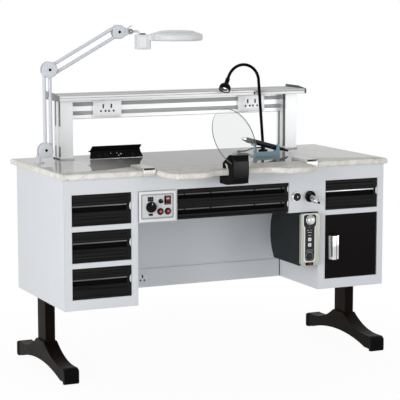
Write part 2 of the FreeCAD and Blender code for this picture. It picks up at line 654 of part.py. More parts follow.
def make_box(name, x, low, height, back):
    """Open steel drawer box behind the front: floor, two sides and a back."""
    start = FRONT + d.front_thick
    wall = d.box_wall
    tall = (low + wall, low + height)
    return keep(group(
        name,
        slab(f"{name}_floor", x, (start, back), (low, low + wall)),
        slab(f"{name}_left", (x[0], x[0] + wall), (start, back), tall),
        slab(f"{name}_right", (x[1] - wall, x[1]), (start, back), tall),
        slab(f"{name}_back", (x[0] + wall, x[1] - wall), (back - wall, back), tall),
    ))


def make_drawer(name, opening, index):
    low = opening_low(index)
    z = (low + d.drawer_gap, low + d.drawer_opening - d.drawer_gap)
    keep(make_front(f"{name}_front", opening, z, d.lip_height, d.grip_height, 3, 2))
    box_x = (opening[0] + d.box_side_gap, opening[1] - d.box_side_gap)
    make_box(f"{name}_box", box_x, low + d.box_floor, d.box_height, FRONT + d.box_length)


for index, level in enumerate(("upper", "middle", "lower")):
    make_drawer(f"left_{level}_drawer", LEFT_OPENING, index)
make_drawer("right_drawer", RIGHT_OPENING, 0)

centre_low = opening_low(0) + d.drawer_gap
centre_high = APRON_LOW - d.drawer_gap
centre_half = (centre_low + centre_high) / 2
centre_fronts = [
    make_front(f"centre_front_{level}", CENTRE, z, d.centre_lip, d.centre_grip, 1, 0)
    for level, z in (("lower", (centre_low, centre_half)), ("upper", (centre_half, centre_high)))
]
keep(group("centre_drawer_front", *centre_fronts))
make_box("centre_drawer_box", (CENTRE[0] + d.centre_box_gap, CENTRE[1] - d.centre_box_gap), CENTRE_LEDGE,
         d.centre_box_height, FRONT + d.centre_box_length)


# Cupboard door: pivots on two pins, its hinge edge rounded so that it clears the stile

door_radius = d.door_thick / 2
DOOR_LEFT = RIGHT_OPENING[0] + d.drawer_gap
door_outline = [
    (DOOR_LEFT, FRONT), (DOOR_AXIS[0], FRONT, door_radius, 1),
    (DOOR_AXIS[0] + door_radius, DOOR_AXIS[1], door_radius, 1),
    (DOOR_AXIS[0], FRONT + d.door_thick), (DOOR_LEFT, FRONT + d.door_thick),
]
door_leaf = extrude("door_leaf", "XY_Plane", door_outline, (DOOR_LOW, DOOR_HIGH))
keep(fuse("cupboard_door", door_leaf, *door_pin("door_pin", d.pin_radius, PIN_REACH)))

handle_base = DOOR_LOW + d.handle_low
reach = FRONT - d.handle_reach
inner_reach = reach + d.handle_plate
handle_top = handle_base + d.handle_tall
handle_outline = [
    (reach, handle_base), (FRONT, handle_base), (FRONT, handle_base + d.handle_post),
    (inner_reach, handle_base + d.handle_post), (inner_reach, handle_top - d.handle_post),
    (FRONT, handle_top - d.handle_post), (FRONT, handle_top), (reach, handle_top),
]
handle_left = DOOR_LEFT + d.handle_x
keep(extrude("door_handle", "YZ_Plane", handle_outline, (handle_left, handle_left + d.handle_width)))


# Controls on the panel: dial, small knob, rocker and two push buttons, each on its shaft or stem

def make_dial(name, x, z, radius, thick):
    """Round control in front of the panel with a shaft into its bore."""
    gap = d.knob_gap
    outline = [
        (0, -d.shaft_length), (d.shaft_radius, -d.shaft_length), (d.shaft_radius, gap), (radius, gap),
        (radius, thick * 0.45), (radius * 0.82, thick * 0.6), (radius * 0.76, thick), (0, thick),
    ]
    return keep(turned(name, outline, (x, PANEL_FACE, z), "-y"))


make_dial("main_dial", *DIAL, d.dial_radius, d.dial_thick)
make_dial("small_knob", *KNOB, d.knob_radius, d.knob_thick)

rocker_half = d.rocker_height / 2
rocker_outline = [
    (-d.rocker_proud, -rocker_half), (d.rocker_depth, -rocker_half * 0.6),
    (d.rocker_depth, rocker_half * 0.6),
    (-d.rocker_proud, rocker_half), (-d.rocker_proud * 0.4, 0),
]
rocker = extrude("rocker_cap", "YZ_Plane", rocker_outline,
                 (ROCKER[0] - d.rocker_width / 2, ROCKER[0] + d.rocker_width / 2))
bind(rocker, ".Placement.Base.y", PANEL_FACE)
bind(rocker, ".Placement.Base.z", ROCKER[1])
pin_half = d.rocker_width / 2 + d.rocker_pin_out
rocker_pin = rod("rocker_pivot", d.rocker_pin,
                 (ROCKER[0] - pin_half, PANEL_FACE + d.rocker_pin_in, ROCKER[1]), 2 * pin_half, "+x")
keep(fuse("rocker_switch", rocker, rocker_pin))

for hand, (x, z) in (("left", LEFT_BUTTON), ("right", RIGHT_BUTTON)):
    cap_edge = d.button_radius * 0.9
    outline = [
        (0, -d.button_depth), (d.button_radius, -d.button_depth), (d.button_radius, d.button_proud * 0.7),
        (cap_edge, d.button_proud), (0, d.button_proud),
    ]
    keep(turned(f"{hand}_button", outline, (x, PANEL_FACE, z), "-y"))


# Air fittings on the right-hand box: a quick coupling, and a cup with the blow gun parked in it

COUPLING = (FITTING_X[0] + d.coupling_x, FRONT, FASCIA_LOW + d.fitting_z)
HOLDER = (FITTING_X[0] + d.holder_x, FASCIA_LOW + d.fitting_z)
coupling = turned("coupling", [
    (d.coupling_bore, 0), (d.coupling_radius, 0), (d.coupling_radius, d.coupling_out * 0.4),
    (d.coupling_radius * 0.8, d.coupling_out), (d.coupling_bore, d.coupling_out),
], COUPLING, "-y")
keep(turned("gun_holder", [
    (0, 0), (d.holder_radius, 0), (d.holder_radius, d.holder_out - 2), (d.holder_radius - 2, d.holder_out),
    (d.holder_bore, d.holder_out), (d.holder_bore, d.holder_floor), (0, d.holder_floor),
], (HOLDER[0], FRONT, HOLDER[1]), "-y"))
gun_way = Rotation(Vector(0, 0, 1), d.gun_swing.value).multiply(
    Rotation(Vector(1, 0, 0), 90 + d.gun_droop.value))
gun_foot = rod("gun_foot", d.gun_radius * 0.7, (HOLDER[0], FRONT - d.holder_floor, HOLDER[1]),
               d.holder_floor * 2, "-y")
gun_barrel = turned("gun_barrel", [
    (0, 0), (d.gun_radius * 0.7, 0), (d.gun_radius, d.gun_length * 0.15),
    (d.gun_radius, d.gun_length * 0.55),
    (d.gun_tip * 1.6, d.gun_length * 0.75), (d.gun_tip, d.gun_length), (0, d.gun_length),
], (HOLDER[0], FRONT - d.holder_floor * 2, HOLDER[1]), gun_way)
keep(group("air_fittings", coupling, fuse("blow_gun", gun_foot, gun_barrel)))


# Motor control unit: a moulded shell on the cabinet side with a silver front, a speed knob and two keys

UNIT_X = (INNER - d.unit_width, INNER)
UNIT_MID = INNER - d.unit_middle
UNIT_FACE = FRONT - d.unit_front_out
UNIT_TOP = FASCIA_LOW - d.unit_gap
UNIT_LOW = UNIT_TOP - d.unit_tall
UNIT_KNOB_Z = UNIT_TOP - d.unit_knob_drop
UNIT_KEYS = (("upper", UNIT_TOP - d.key_upper_drop), ("lower", UNIT_TOP - d.key_lower_drop))
seam = FRONT - d.unit_seam
belly_half = (UNIT_TOP - UNIT_LOW) / 2
bulge = d.unit_belly - d.unit_back
unit_bow = (belly_half * belly_half + bulge * bulge) / (2 * bulge)
unit_outline = [
    (seam, UNIT_LOW), (FRONT + d.unit_back, UNIT_LOW, unit_bow, 1),
    (FRONT + d.unit_back, UNIT_TOP), (seam, UNIT_TOP),
]
unit_hollow = slab("unit_hollow", (UNIT_X[0] + d.unit_wall, UNIT_X[1] - d.unit_wall),
                   (seam, FRONT + d.unit_back - d.unit_wall),
                   (UNIT_LOW + d.unit_wall, UNIT_TOP - d.unit_wall))
keep(cut("unit_shell", extrude("unit_casting", "YZ_Plane", unit_outline, UNIT_X), unit_hollow))

unit_front = extrude("unit_front_blank", "YZ_Plane", [
    (UNIT_FACE, UNIT_LOW), (seam, UNIT_LOW), (seam, UNIT_TOP), (UNIT_FACE, UNIT_TOP),
], UNIT_X)
window = slab("unit_window_cut", (UNIT_MID - d.unit_window / 2, UNIT_MID + d.unit_window / 2),
              (UNIT_FACE, UNIT_FACE + d.unit_window_depth),
              (UNIT_LOW + d.unit_window_low, UNIT_TOP - d.unit_window_high))
PANEL_IN = UNIT_FACE + d.unit_window_depth
key_half = d.key_size / 2 + d.key_clear
key_cuts = [
    slab(f"key_hole_{level}", (UNIT_MID - key_half, UNIT_MID + key_half), (UNIT_FACE, seam),
         (z - key_half, z + key_half))
    for level, z in UNIT_KEYS
]
knob_hole = rod("unit_knob_hole", shaft_hole, (UNIT_MID, UNIT_FACE, UNIT_KNOB_Z), d.unit_front_out, "+y")
keep(cut("unit_front", unit_front, window, knob_hole, *key_cuts))

dome = d.unit_knob_radius
keep(turned("unit_speed_knob", [
    (0, -d.shaft_length), (d.shaft_radius, -d.shaft_length), (d.shaft_radius, d.knob_gap),
    (dome, d.knob_gap), (dome, d.unit_knob_out * 0.35),
    (dome * 0.72, d.unit_knob_out * 0.8), (dome * 0.35, d.unit_knob_out), (0, d.unit_knob_out),
], (UNIT_MID, PANEL_IN, UNIT_KNOB_Z), "-y"))
for level, z in UNIT_KEYS:
    half = d.key_size / 2
    keep(slab(f"unit_{level}_key", (UNIT_MID - half, UNIT_MID + half),
              (PANEL_IN - d.key_out, PANEL_IN + d.key_depth), (z - half, z + half)))


# Suction mouth: hood that grips the stone's bay, hollow from its inlet down to the fan's spigot

def y_at(offset):
    return FRONT - offset


hood_outline = [
    (y_at(d.mouth_back), MOUTH_LOW), (y_at(d.mouth_back), UNDER), (y_at(d.mouth_grip), UNDER),
    (y_at(d.mouth_grip), TOP), (y_at(d.mouth_lip), TOP), (y_at(d.mouth_lip), TOP + d.mouth_lip_rise),
    (y_at(d.mouth_crest), MOUTH_HIGH),
    (y_at(d.mouth_front - d.mouth_round), MOUTH_HIGH, d.mouth_round, 1),
    (y_at(d.mouth_front), MOUTH_HIGH - d.mouth_round),
    (y_at(d.mouth_front), MOUTH_LOW + d.mouth_slope + d.mouth_round, d.mouth_round, 1),
    (y_at(d.mouth_front - d.mouth_round), MOUTH_LOW + d.mouth_slope), (y_at(d.mouth_heel), MOUTH_LOW),
]
MOUTH_X = (d.mouth_left, d.mouth_right)
nose = d.mouth_nose
plan_outline = [
    (MOUTH_X[0], y_at(d.mouth_back)), (MOUTH_X[0], y_at(d.mouth_front - nose), nose, 1),
    (MOUTH_X[0] + nose, y_at(d.mouth_front)), (MOUTH_X[1] - nose, y_at(d.mouth_front), nose, 1),
    (MOUTH_X[1], y_at(d.mouth_front - nose)), (MOUTH_X[1], y_at(d.mouth_back)),
]
hood = doc.addObject("Part::MultiCommon", "hood")
hood.Shapes = [
    extrude("hood_side", "YZ_Plane", hood_outline, MOUTH_X),
    extrude("hood_plan", "XY_Plane", plan_outline, (MOUTH_LOW, MOUTH_HIGH)),
]
channel_x = (MOUTH_X[0] + d.mouth_wall, MOUTH_X[1] - d.mouth_wall)
channel_y = (y_at(d.mouth_front - d.mouth_wall), y_at(d.mouth_grip + d.mouth_web))
inlet = slab("hood_inlet", channel_x, (y_at(d.mouth_inlet), y_at(d.mouth_lip)),
             (TOP + d.mouth_web, MOUTH_HIGH))
passage = slab("hood_passage", channel_x, (channel_y[0], y_at(d.mouth_inlet)),
               (TOP + d.mouth_web, TOP + d.mouth_web + d.mouth_throat))
riser_high = TOP + d.mouth_web + d.mouth_throat
riser = extrude("hood_riser", "YZ_Plane", [
    (channel_y[0], MOUTH_LOW + d.mouth_slope + d.mouth_web),
    (channel_y[1], MOUTH_LOW + d.mouth_slope / 2 + d.mouth_web), (channel_y[1], riser_high),
    (channel_y[0], riser_high),
], channel_x)
spigot_bore = d.spigot_radius - d.spigot_wall
outlet_bore = rod("hood_outlet", spigot_bore, (MOUTH_MIDDLE, channel_y[1], SPIGOT_Z),
                  y_at(d.mouth_back) - channel_y[1], "+y")

# The glass shield stands in a slot across the hood and lifts out along its own plane
SHIELD = (d.shield_x, FRONT + d.shield_y, TOP + d.shield_rise)
LEAN = Rotation(Vector(0, 0, 1), d.shield_yaw.value).multiply(
    Rotation(Vector(1, 0, 0), -d.shield_lean.value))
shield_face = LEAN.multVec(Vector(0, -1, 0))


def shield_disc(name, thick):
    back = [middle - thick * (share / 2) for middle, share in zip(SHIELD, shield_face)]
    return rod(name, d.shield_radius, back, thick, LEAN.multiply(ALONG["-y"]))


shield_slot = shield_disc("shield_slot", d.shield_thick + 2 * d.shield_clear)
keep(cut("suction_mouth", hood, inlet, passage, riser, outlet_bore, shield_slot))
keep(shield_disc("glass_shield", d.shield_thick))

# Fan box under the top, with a spigot through the apron into the hood
fan_x = (d.fan_left, d.fan_right)
fan_y = (FRONT + d.fan_front, FRONT + d.fan_back)
FAN_LOW = UNDER - d.fan_tall
fan_box = slab("fan_box", fan_x, fan_y, (FAN_LOW, UNDER))
fan_hollow = slab("fan_hollow", (fan_x[0] + d.sheet, fan_x[1] - d.sheet), (fan_y[0] + d.sheet, fan_y[1]),
                  (FAN_LOW + d.sheet, UNDER - d.sheet))
spigot_start = (MOUTH_MIDDLE, y_at(d.mouth_back), SPIGOT_Z)
fan_spigot = rod("fan_spigot", d.spigot_radius, spigot_start, d.mouth_back + d.fan_front, "+y")
fan_bore = rod("fan_bore", spigot_bore, spigot_start, d.mouth_back + d.fan_front + d.sheet, "+y")
keep(cut("suction_fan", fuse("fan_blank", fan_box, fan_spigot), fan_hollow, fan_bore))


# Rear frame: two slotted posts, a slotted cross rail, the top shelf and its end caps

POST_FRONT = FRONT + d.post_front
POST_BACK = POST_FRONT + d.post_depth
POST_X = d.top_width / 2 - d.post_inset
POST_TOP = TOP + d.post_height


def make_post(name, x):
    half = d.post_width / 2
    side = []
    for start in (POST_FRONT + d.slot_inset, POST_BACK - d.slot_inset - d.slot_width):
        side += [(half, start), (half - d.slot_depth, start), (half - d.slot_depth, start + d.slot_width),
                 (half, start + d.slot_width)]
    outline = [(-half, POST_FRONT), (half, POST_FRONT), *side, (half, POST_BACK), (-half, POST_BACK)]
    outline += [(-a, b) for a, b in reversed(side)]
    post = extrude(name, "XY_Plane", outline, (TOP + d.base_plate, POST_TOP))
    bind(post, ".Placement.Base.x", x)
    return post


keep(group("posts", make_post("left_post", -POST_X), make_post("right_post", POST_X)))

RAIL_FRONT = FRONT + d.rail_front
RAIL_BACK = RAIL_FRONT + d.rail_depth
RAIL_LOW = POST_TOP - d.rail_tall
rail_half = POST_X - d.post_width / 2
rail_outline = [(RAIL_BACK, RAIL_LOW), (RAIL_BACK, POST_TOP), (RAIL_FRONT, POST_TOP)]
for start in (d.rail_slot_high, d.rail_slot_low):
    low = RAIL_LOW + start
    inside = RAIL_FRONT + d.rail_slot_depth
    rail_outline += [(RAIL_FRONT, low + d.rail_slot), (inside, low + d.rail_slot), (inside, low),
                     (RAIL_FRONT, low)]
rail_outline += [(RAIL_FRONT, RAIL_LOW)]
keep(extrude("cross_rail", "YZ_Plane", rail_outline, (-rail_half, rail_half)))

SHELF_FRONT = FRONT + d.shelf_front
SHELF_BACK = FRONT + d.shelf_back
SHELF_HALF = POST_X + d.shelf_beyond
keep(extrude("top_shelf", "YZ_Plane", [
    (SHELF_FRONT, POST_TOP), (SHELF_BACK, POST_TOP), (SHELF_BACK, POST_TOP + d.shelf_thick),
    (SHELF_FRONT, POST_TOP + d.shelf_thick),
], (-SHELF_HALF, SHELF_HALF)))
cap_outline = [
    (SHELF_FRONT, POST_TOP), (SHELF_BACK, POST_TOP), (SHELF_BACK, POST_TOP + d.cap_tall),
    (FRONT + d.cap_crest, POST_TOP + d.cap_tall), (SHELF_FRONT, POST_TOP + d.cap_lip),
]
shelf_caps = [
    extrude("shelf_cap_left", "YZ_Plane", cap_outline, (-SHELF_HALF - d.end_cap, -SHELF_HALF)),
    extrude("shelf_cap_right", "YZ_Plane", cap_outline, (SHELF_HALF, SHELF_HALF + d.end_cap)),
]
plate_half = d.post_width / 2 + d.base_plate_rim
base_plates = [
    slab(f"post_base_{hand}", (x - plate_half, x + plate_half),
         (POST_FRONT - d.base_plate_rim, POST_BACK + d.base_plate_rim), (TOP, TOP + d.base_plate))
    for hand, x in (("left", -POST_X), ("right", POST_X))
]
keep(group("frame_caps", *shelf_caps, *base_plates))

outlet_half = d.outlet_width / 2
OUTLET_LOW = RAIL_LOW + d.outlet_low
keep(group("socket_plates", *[
    slab(f"outlet_{hand}", (x - outlet_half, x + outlet_half), (RAIL_FRONT - d.outlet_thick, RAIL_FRONT),
         (OUTLET_LOW, OUTLET_LOW + d.outlet_height))
    for hand, x in (("left", d.outlet_left - POST_X), ("right", POST_X - d.outlet_right))
]))


# Magnifier lamp: a swivel foot, two pairs of parallel bars that keep the head level, and the ring head

CHEEK_IN = d.eye_half + d.cheek_gap
CHEEK_OUT = CHEEK_IN + d.cheek_thick
BASE = (LAMP_FOOT_X + d.lamp_base_dx, TOP + d.lamp_base_rise)
ELBOW = (BASE[0] + d.elbow_dx, BASE[1] + d.lower_dz + d.elbow_lift)
NEAR_PIN = (ELBOW[0] + d.near_dx, ELBOW[1] - d.near_drop)
FAR_PIN = (ELBOW[0] - d.far_back, ELBOW[1] + d.far_rise)
LOWER_RUN = (d.lower_dx, d.lower_dz)
UPPER_RUN = (d.upper_dx, d.upper_dz)


def shifted(at, run):
    return (at[0] + run[0], at[1] + run[1])


BASE_PINS = [
    shifted(BASE, (d.pin_ahead - d.bar_half, 0)), shifted(BASE, (d.pin_ahead + d.bar_half, -d.pin_fall)),
]
ELBOW_PINS = [shifted(at, LOWER_RUN) for at in BASE_PINS] + [NEAR_PIN, FAR_PIN]
BRACKET_PINS = [shifted(at, UPPER_RUN) for at in (NEAR_PIN, FAR_PIN)]
pin_middle = tuple((near + far) / 2 for near, far in zip(*BRACKET_PINS))
BRACKET = (pin_middle[0], pin_middle[1] - d.bracket_drop)
KNUCKLE = shifted(BRACKET, (d.knuckle_dx, d.knuckle_rise))


def cheeks(name, centre, radius):
    """Front and rear cover discs of a lamp joint."""
    return [
        rod(f"{name}_front_cheek", radius, (centre[0], LAMP_Y - CHEEK_OUT, centre[1]), d.cheek_thick, "+y"),
        rod(f"{name}_rear_cheek", radius, (centre[0], LAMP_Y + CHEEK_IN, centre[1]), d.cheek_thick, "+y"),
    ]


def pins(name, places):
    """Joint pins from cheek to cheek."""
    return [
        rod(f"{name}_pin_{index}", d.lamp_pin, (at[0], LAMP_Y - CHEEK_OUT, at[1]), 2 * CHEEK_OUT, "+y")
        for index, at in enumerate(places)
    ]


def eye(name, radius, at):
    return rod(name, radius, (at[0], LAMP_Y - d.eye_half, at[1]), 2 * d.eye_half, "+y")


def make_bar(name, start, run):
    """Round bar between two eyes, bored for the joint pins."""
    end = shifted(start, run)
    angle = math.degrees(math.atan2(run[0].value, run[1].value))
    tube = rod(f"{name}_tube", d.bar_radius, (start[0], LAMP_Y, start[1]), length_of(*run),
               Rotation(Vector(0, 1, 0), angle))
    bore = d.lamp_pin + d.lamp_pin_clear
    blank = fuse(f"{name}_blank", tube, eye(f"{name}_eye_low", d.eye_radius, start),
                 eye(f"{name}_eye_high", d.eye_radius, end))
    return keep(cut(name, blank, eye(f"{name}_bore_low", bore, start), eye(f"{name}_bore_high", bore, end)))


BLOCK_LOW = TOP + d.lamp_block_low


def base_plate(name, y):
    """Side plate of the foot: round at the top, straight-sided down to the block."""
    half = d.base_disc
    outline = [
        (BASE[0] - half, BLOCK_LOW), (BASE[0] + half, BLOCK_LOW), (BASE[0] + half, BASE[1], half, 1),
        (BASE[0], BASE[1] + half, half, 1), (BASE[0] - half, BASE[1]),
    ]
    return extrude(name, "XZ_Plane", outline, y)


base_plates = [
    base_plate("base_front_plate", (LAMP_Y - CHEEK_OUT, LAMP_Y - CHEEK_IN)),
    base_plate("base_rear_plate", (LAMP_Y + CHEEK_IN, LAMP_Y + CHEEK_OUT)),
]
lamp_block = slab("lamp_block", (LAMP_FOOT_X - d.lamp_block_half, BASE[0] + d.base_disc),
                  (LAMP_Y - CHEEK_OUT, LAMP_Y + CHEEK_OUT), (BLOCK_LOW, TOP + d.lamp_block_high))
lamp_rod = rod("lamp_rod", d.lamp_rod, (LAMP_FOOT_X, LAMP_Y, TOP - d.lamp_rod_depth),
               d.lamp_block_low + d.lamp_rod_depth, "+z")
lamp_flange = rod("lamp_flange", d.lamp_flange, (LAMP_FOOT_X, LAMP_Y, TOP), d.lamp_flange_high, "+z")
keep(fuse("magnifier_base", lamp_block, lamp_rod, lamp_flange, *base_plates, *pins("base", BASE_PINS)))
make_bar("lower_bar_left", BASE_PINS[0], LOWER_RUN)
make_bar("lower_bar_right", BASE_PINS[1], LOWER_RUN)
keep(fuse("magnifier_elbow", *cheeks("elbow", ELBOW, d.elbow_disc), *pins("elbow", ELBOW_PINS)))
make_bar("upper_bar_near", NEAR_PIN, UPPER_RUN)
make_bar("upper_bar_far", FAR_PIN, UPPER_RUN)


def bracket_arm(name, y):
    """Side plate from the cover disc out to the knuckle."""
    tip = d.knuckle_radius
    outline = [
        (BRACKET[0], BRACKET[1] - tip), (KNUCKLE[0], KNUCKLE[1] - tip, tip, 1),
        (KNUCKLE[0] + tip, KNUCKLE[1], tip, 1), (KNUCKLE[0], KNUCKLE[1] + tip),
        (BRACKET[0], BRACKET[1] + tip),
    ]
    return extrude(name, "XZ_Plane", outline, y)


bracket_arms = [
    bracket_arm("bracket_front_arm", (LAMP_Y - CHEEK_OUT, LAMP_Y - CHEEK_IN)),
    bracket_arm("bracket_rear_arm", (LAMP_Y + CHEEK_IN, LAMP_Y + CHEEK_OUT)),
]
knuckle_pin = rod("knuckle_pin", d.knuckle_pin, (KNUCKLE[0], LAMP_Y - CHEEK_OUT, KNUCKLE[1]),
                  2 * CHEEK_OUT + d.wing_stem, "+y")
wing = slab("wing_screw", (KNUCKLE[0] - d.wing_width / 2, KNUCKLE[0] + d.wing_width / 2),
            (LAMP_Y + CHEEK_OUT + d.wing_stem, LAMP_Y + CHEEK_OUT + d.wing_stem + d.wing_thick),
            (KNUCKLE[1] - d.wing_height / 2, KNUCKLE[1] + d.wing_height / 2))
keep(fuse("head_bracket", *cheeks("bracket", BRACKET, d.bracket_disc), *bracket_arms,
          *pins("bracket", BRACKET_PINS), knuckle_pin, wing))

HOUSING_LEFT = KNUCKLE[0] + d.housing_dx
HOUSING_HIGH = KNUCKLE[1] - d.housing_drop
HOUSING_LOW = HOUSING_HIGH - d.housing_tall
HEAD_X = HOUSING_LEFT + d.head_dx
HEAD_LOW = HOUSING_HIGH - d.head_drop
LAMP_BUTTON_X = HOUSING_LEFT + d.lamp_button_dx
HOUSING_X = (HOUSING_LEFT, HOUSING_LEFT + d.housing_wide)
HEAD_NECK_X = (HOUSING_X[1] - d.housing_bite, HEAD_X - d.head_radius + d.housing_bite)
HOUSING_Y = (LAMP_Y - d.housing_depth / 2, LAMP_Y + d.housing_depth / 2)
tongue = eye("head_tongue", d.knuckle_radius, KNUCKLE)
neck = extrude("head_neck", "XZ_Plane", [
    (KNUCKLE[0], KNUCKLE[1] - d.neck_half), (HOUSING_LEFT + d.neck_half, HOUSING_HIGH - d.neck_drop),
    (HOUSING_LEFT + 2 * d.neck_half, HOUSING_HIGH), (KNUCKLE[0] + d.neck_half, KNUCKLE[1] + d.neck_half),
], (LAMP_Y - d.eye_half, LAMP_Y + d.eye_half))
housing = round_all(extrude("head_housing", "XY_Plane", [
    (HOUSING_X[0], HOUSING_Y[0]), (HOUSING_X[1], HOUSING_Y[0]), (HOUSING_X[1], HOUSING_Y[1]),
    (HOUSING_X[0], HOUSING_Y[1]),
], (HOUSING_LOW, HOUSING_HIGH)), d.housing_round)
head_bridge = slab("head_bridge", HEAD_NECK_X, (LAMP_Y - d.bridge_half, LAMP_Y + d.bridge_half),
                   (HEAD_LOW + d.bridge_step, HOUSING_HIGH - d.bridge_step))
lens_bore = d.lens_radius + d.lens_clear
ring = turned("head_ring", [
    (lens_bore, 0), (d.head_radius - d.head_round, 0), (d.head_radius, d.head_round),
    (d.head_radius, d.head_rim - d.head_round, d.head_round, 1), (d.head_radius - d.head_round, d.head_rim),
    (lens_bore + d.head_lip, d.head_rim), (lens_bore + d.head_lip, d.head_rim + d.head_lip),
    (lens_bore, d.head_rim + d.head_lip),
], (HEAD_X, LAMP_Y, HEAD_LOW))
head_bore = rod("head_bore", lens_bore, (HEAD_X, LAMP_Y, HOUSING_LOW),
                HEAD_LOW + d.head_rim - HOUSING_LOW, "+z")
lens_seat = turned("lens_seat", [
    (lens_bore - d.lens_seat, d.lens_low - d.lens_seat), (lens_bore, d.lens_low - d.lens_seat),
    (lens_bore, d.lens_low), (lens_bore - d.lens_seat, d.lens_low),
], (HEAD_X, LAMP_Y, HEAD_LOW))
BUTTON_X = (LAMP_BUTTON_X - d.lamp_button_long / 2, LAMP_BUTTON_X + d.lamp_button_long / 2)
BUTTON_Y = (LAMP_Y - d.lamp_button_wide / 2, LAMP_Y + d.lamp_button_wide / 2)
gap = d.lamp_button_clear
button_well = slab("lamp_button_well", (BUTTON_X[0] - gap, BUTTON_X[1] + gap),
                   (BUTTON_Y[0] - gap, BUTTON_Y[1] + gap),
                   (HOUSING_HIGH - d.lamp_button_depth - d.lamp_button_travel, HOUSING_HIGH))
knuckle_bore = eye("knuckle_bore", d.knuckle_pin + d.lamp_pin_clear, KNUCKLE)
head_blank = fuse("head_blank", tongue, neck, housing, head_bridge, ring)
head_shell = cut("head_shell", head_blank, head_bore, button_well, knuckle_bore)
keep(fuse("magnifier_head", head_shell, lens_seat))
lens_edge = d.lens_low + d.lens_edge
lens_top = d.lens_low + d.lens_edge + d.lens_dome
lens_bow = (d.lens_radius * d.lens_radius + d.lens_dome * d.lens_dome) / (2 * d.lens_dome)
keep(turned("magnifier_lens", [
    (0, d.lens_low), (d.lens_radius, d.lens_low), (d.lens_radius, lens_edge, lens_bow, 1), (0, lens_top),
], (HEAD_X, LAMP_Y, HEAD_LOW)))
keep(slab("lamp_button", BUTTON_X, BUTTON_Y,
          (HOUSING_HIGH - d.lamp_button_depth, HOUSING_HIGH + d.lamp_button_out)))


# Gooseneck lamp: a turned foot, a bent flexible neck and a bell head

GOOSE = (d.goose_x, FRONT + d.goose_y)
goose_foot = turned("goose_foot", [
    (0, 0), (d.goose_foot, 0), (d.goose_foot, d.goose_foot_high - 2), (d.goose_foot - 2, d.goose_foot_high),
    (d.goose_collar, d.goose_foot_high), (d.goose_collar, d.goose_collar_high), (0, d.goose_collar_high),
], (*GOOSE, TOP))


def bend(start, heading, towards, radius, degrees):
    """Arc that leaves along one direction and turns towards another. Gives its edge, end and new heading."""
    whole = math.radians(degrees)
    centre = start + towards * radius

    def on_arc(turn):
        return centre - towards * radius * math.cos(turn) + heading * radius * math.sin(turn)

    edge = Part.Arc(start, on_arc(whole / 2), on_arc(whole)).toShape()
    return edge, on_arc(whole), heading * math.cos(whole) + towards * math.sin(whole)


def sweep_tube(wire, start, heading, radius):
    circle = Part.Wire(Part.Circle(start, heading, radius).toShape())
    return wire.makePipeShell([circle], True, False)


lean = math.radians(d.neck_lean.value)
neck_up = Vector(-math.sin(lean), 0, math.cos(lean))
neck_left = Vector(-math.cos(lean), 0, -math.sin(lean))
neck_start = Vector(GOOSE[0].value, GOOSE[1].value, (TOP + d.goose_collar_high - d.neck_socket).value)
neck_rise = neck_start + neck_up * d.neck_straight.value
crook, crook_end, crook_way = bend(neck_rise, neck_up, neck_left, d.neck_bend.value, d.neck_turn.value)
nod, bell_at, bell_way = bend(crook_end, crook_way, Vector(0, -1, 0), d.neck_nod_bend.value,
                              d.neck_nod.value)
neck_wire = Part.Wire([Part.LineSegment(neck_start, neck_rise).toShape(), crook, nod])
goose_neck = doc.addObject("Part::Feature", "goose_neck")
goose_neck.Shape = sweep_tube(neck_wire, neck_start, neck_up, d.neck_tube.value)
keep(fuse("gooseneck", goose_foot, goose_neck))

bell_inside = d.bell_mouth - d.bell_wall
keep(turned("gooseneck_head", [
    (0, 0), (d.bell_neck, 0), (d.bell_neck, d.bell_length * 0.35), (d.bell_mouth, d.bell_length * 0.72),
    (d.bell_mouth, d.bell_length), (bell_inside, d.bell_length), (bell_inside, d.bell_length - d.bell_depth),
    (0, d.bell_length - d.bell_depth),
], (bell_at.x, bell_at.y, bell_at.z), Rotation(Vector(0, 0, 1), bell_way)))


# Lead of the gooseneck lamp: leaves its foot, comes down to the stone and ends in a small connector

LEAD_ROUTE = [
    (GOOSE[0] - d.goose_collar, GOOSE[1], TOP + d.lead_exit),
    (GOOSE[0] - d.lead_first, GOOSE[1] + d.lead_drift, TOP + d.lead_exit),
    (GOOSE[0] - d.lead_second, GOOSE[1] + 2 * d.lead_drift, TOP + (d.lead_exit + d.plug_radius) / 2),
    (GOOSE[0] - d.lead_third, GOOSE[1] + 3 * d.lead_drift, TOP + d.plug_radius),
    (GOOSE[0] - d.lead_last, GOOSE[1] + 4 * d.lead_drift, TOP + d.plug_radius),
]


def rounded_route(points, share):
    """Wire of straight runs joined by tangent arcs that take a share of the shorter run."""
    edges = []
    here = points[0]
    for before, corner, after in zip(points, points[1:], points[2:]):
        arrive = (corner - before).normalize()
        leave = (after - corner).normalize()
        reach = share * min((corner - before).Length, (after - corner).Length)
        turn = arrive.getAngle(leave)
        radius = reach / math.tan(turn / 2)
        start, end = corner - arrive * reach, corner + leave * reach
        middle = corner + (leave - arrive).normalize() * (radius / math.cos(turn / 2) - radius)
        edges.append(Part.LineSegment(here, start).toShape())
        edges.append(Part.Arc(start, middle, end).toShape())
        here = end
    edges.append(Part.LineSegment(here, points[-1]).toShape())
    return Part.Wire(edges)


lead_points = [Vector(*[as_size(number).value for number in point]) for point in LEAD_ROUTE]
lead = doc.addObject("Part::Feature", "lamp_lead")
lead.Shape = sweep_tube(rounded_route(lead_points, 0.45), lead_points[0], lead_points[1] - lead_points[0],
                        d.lead_radius.value)
keep(lead)
plug_way = Rotation(Vector(0, 0, 1), lead_points[-1] - lead_points[-2])
keep(turned("lead_plug", [
    (0, 0), (d.lead_radius, 0), (d.plug_radius, d.plug_length * 0.2), (d.plug_radius, d.plug_length * 0.75),
    (d.lead_radius, d.plug_length * 0.75), (d.lead_radius, d.plug_length), (0, d.plug_length),
], LEAD_ROUTE[-1], plug_way))


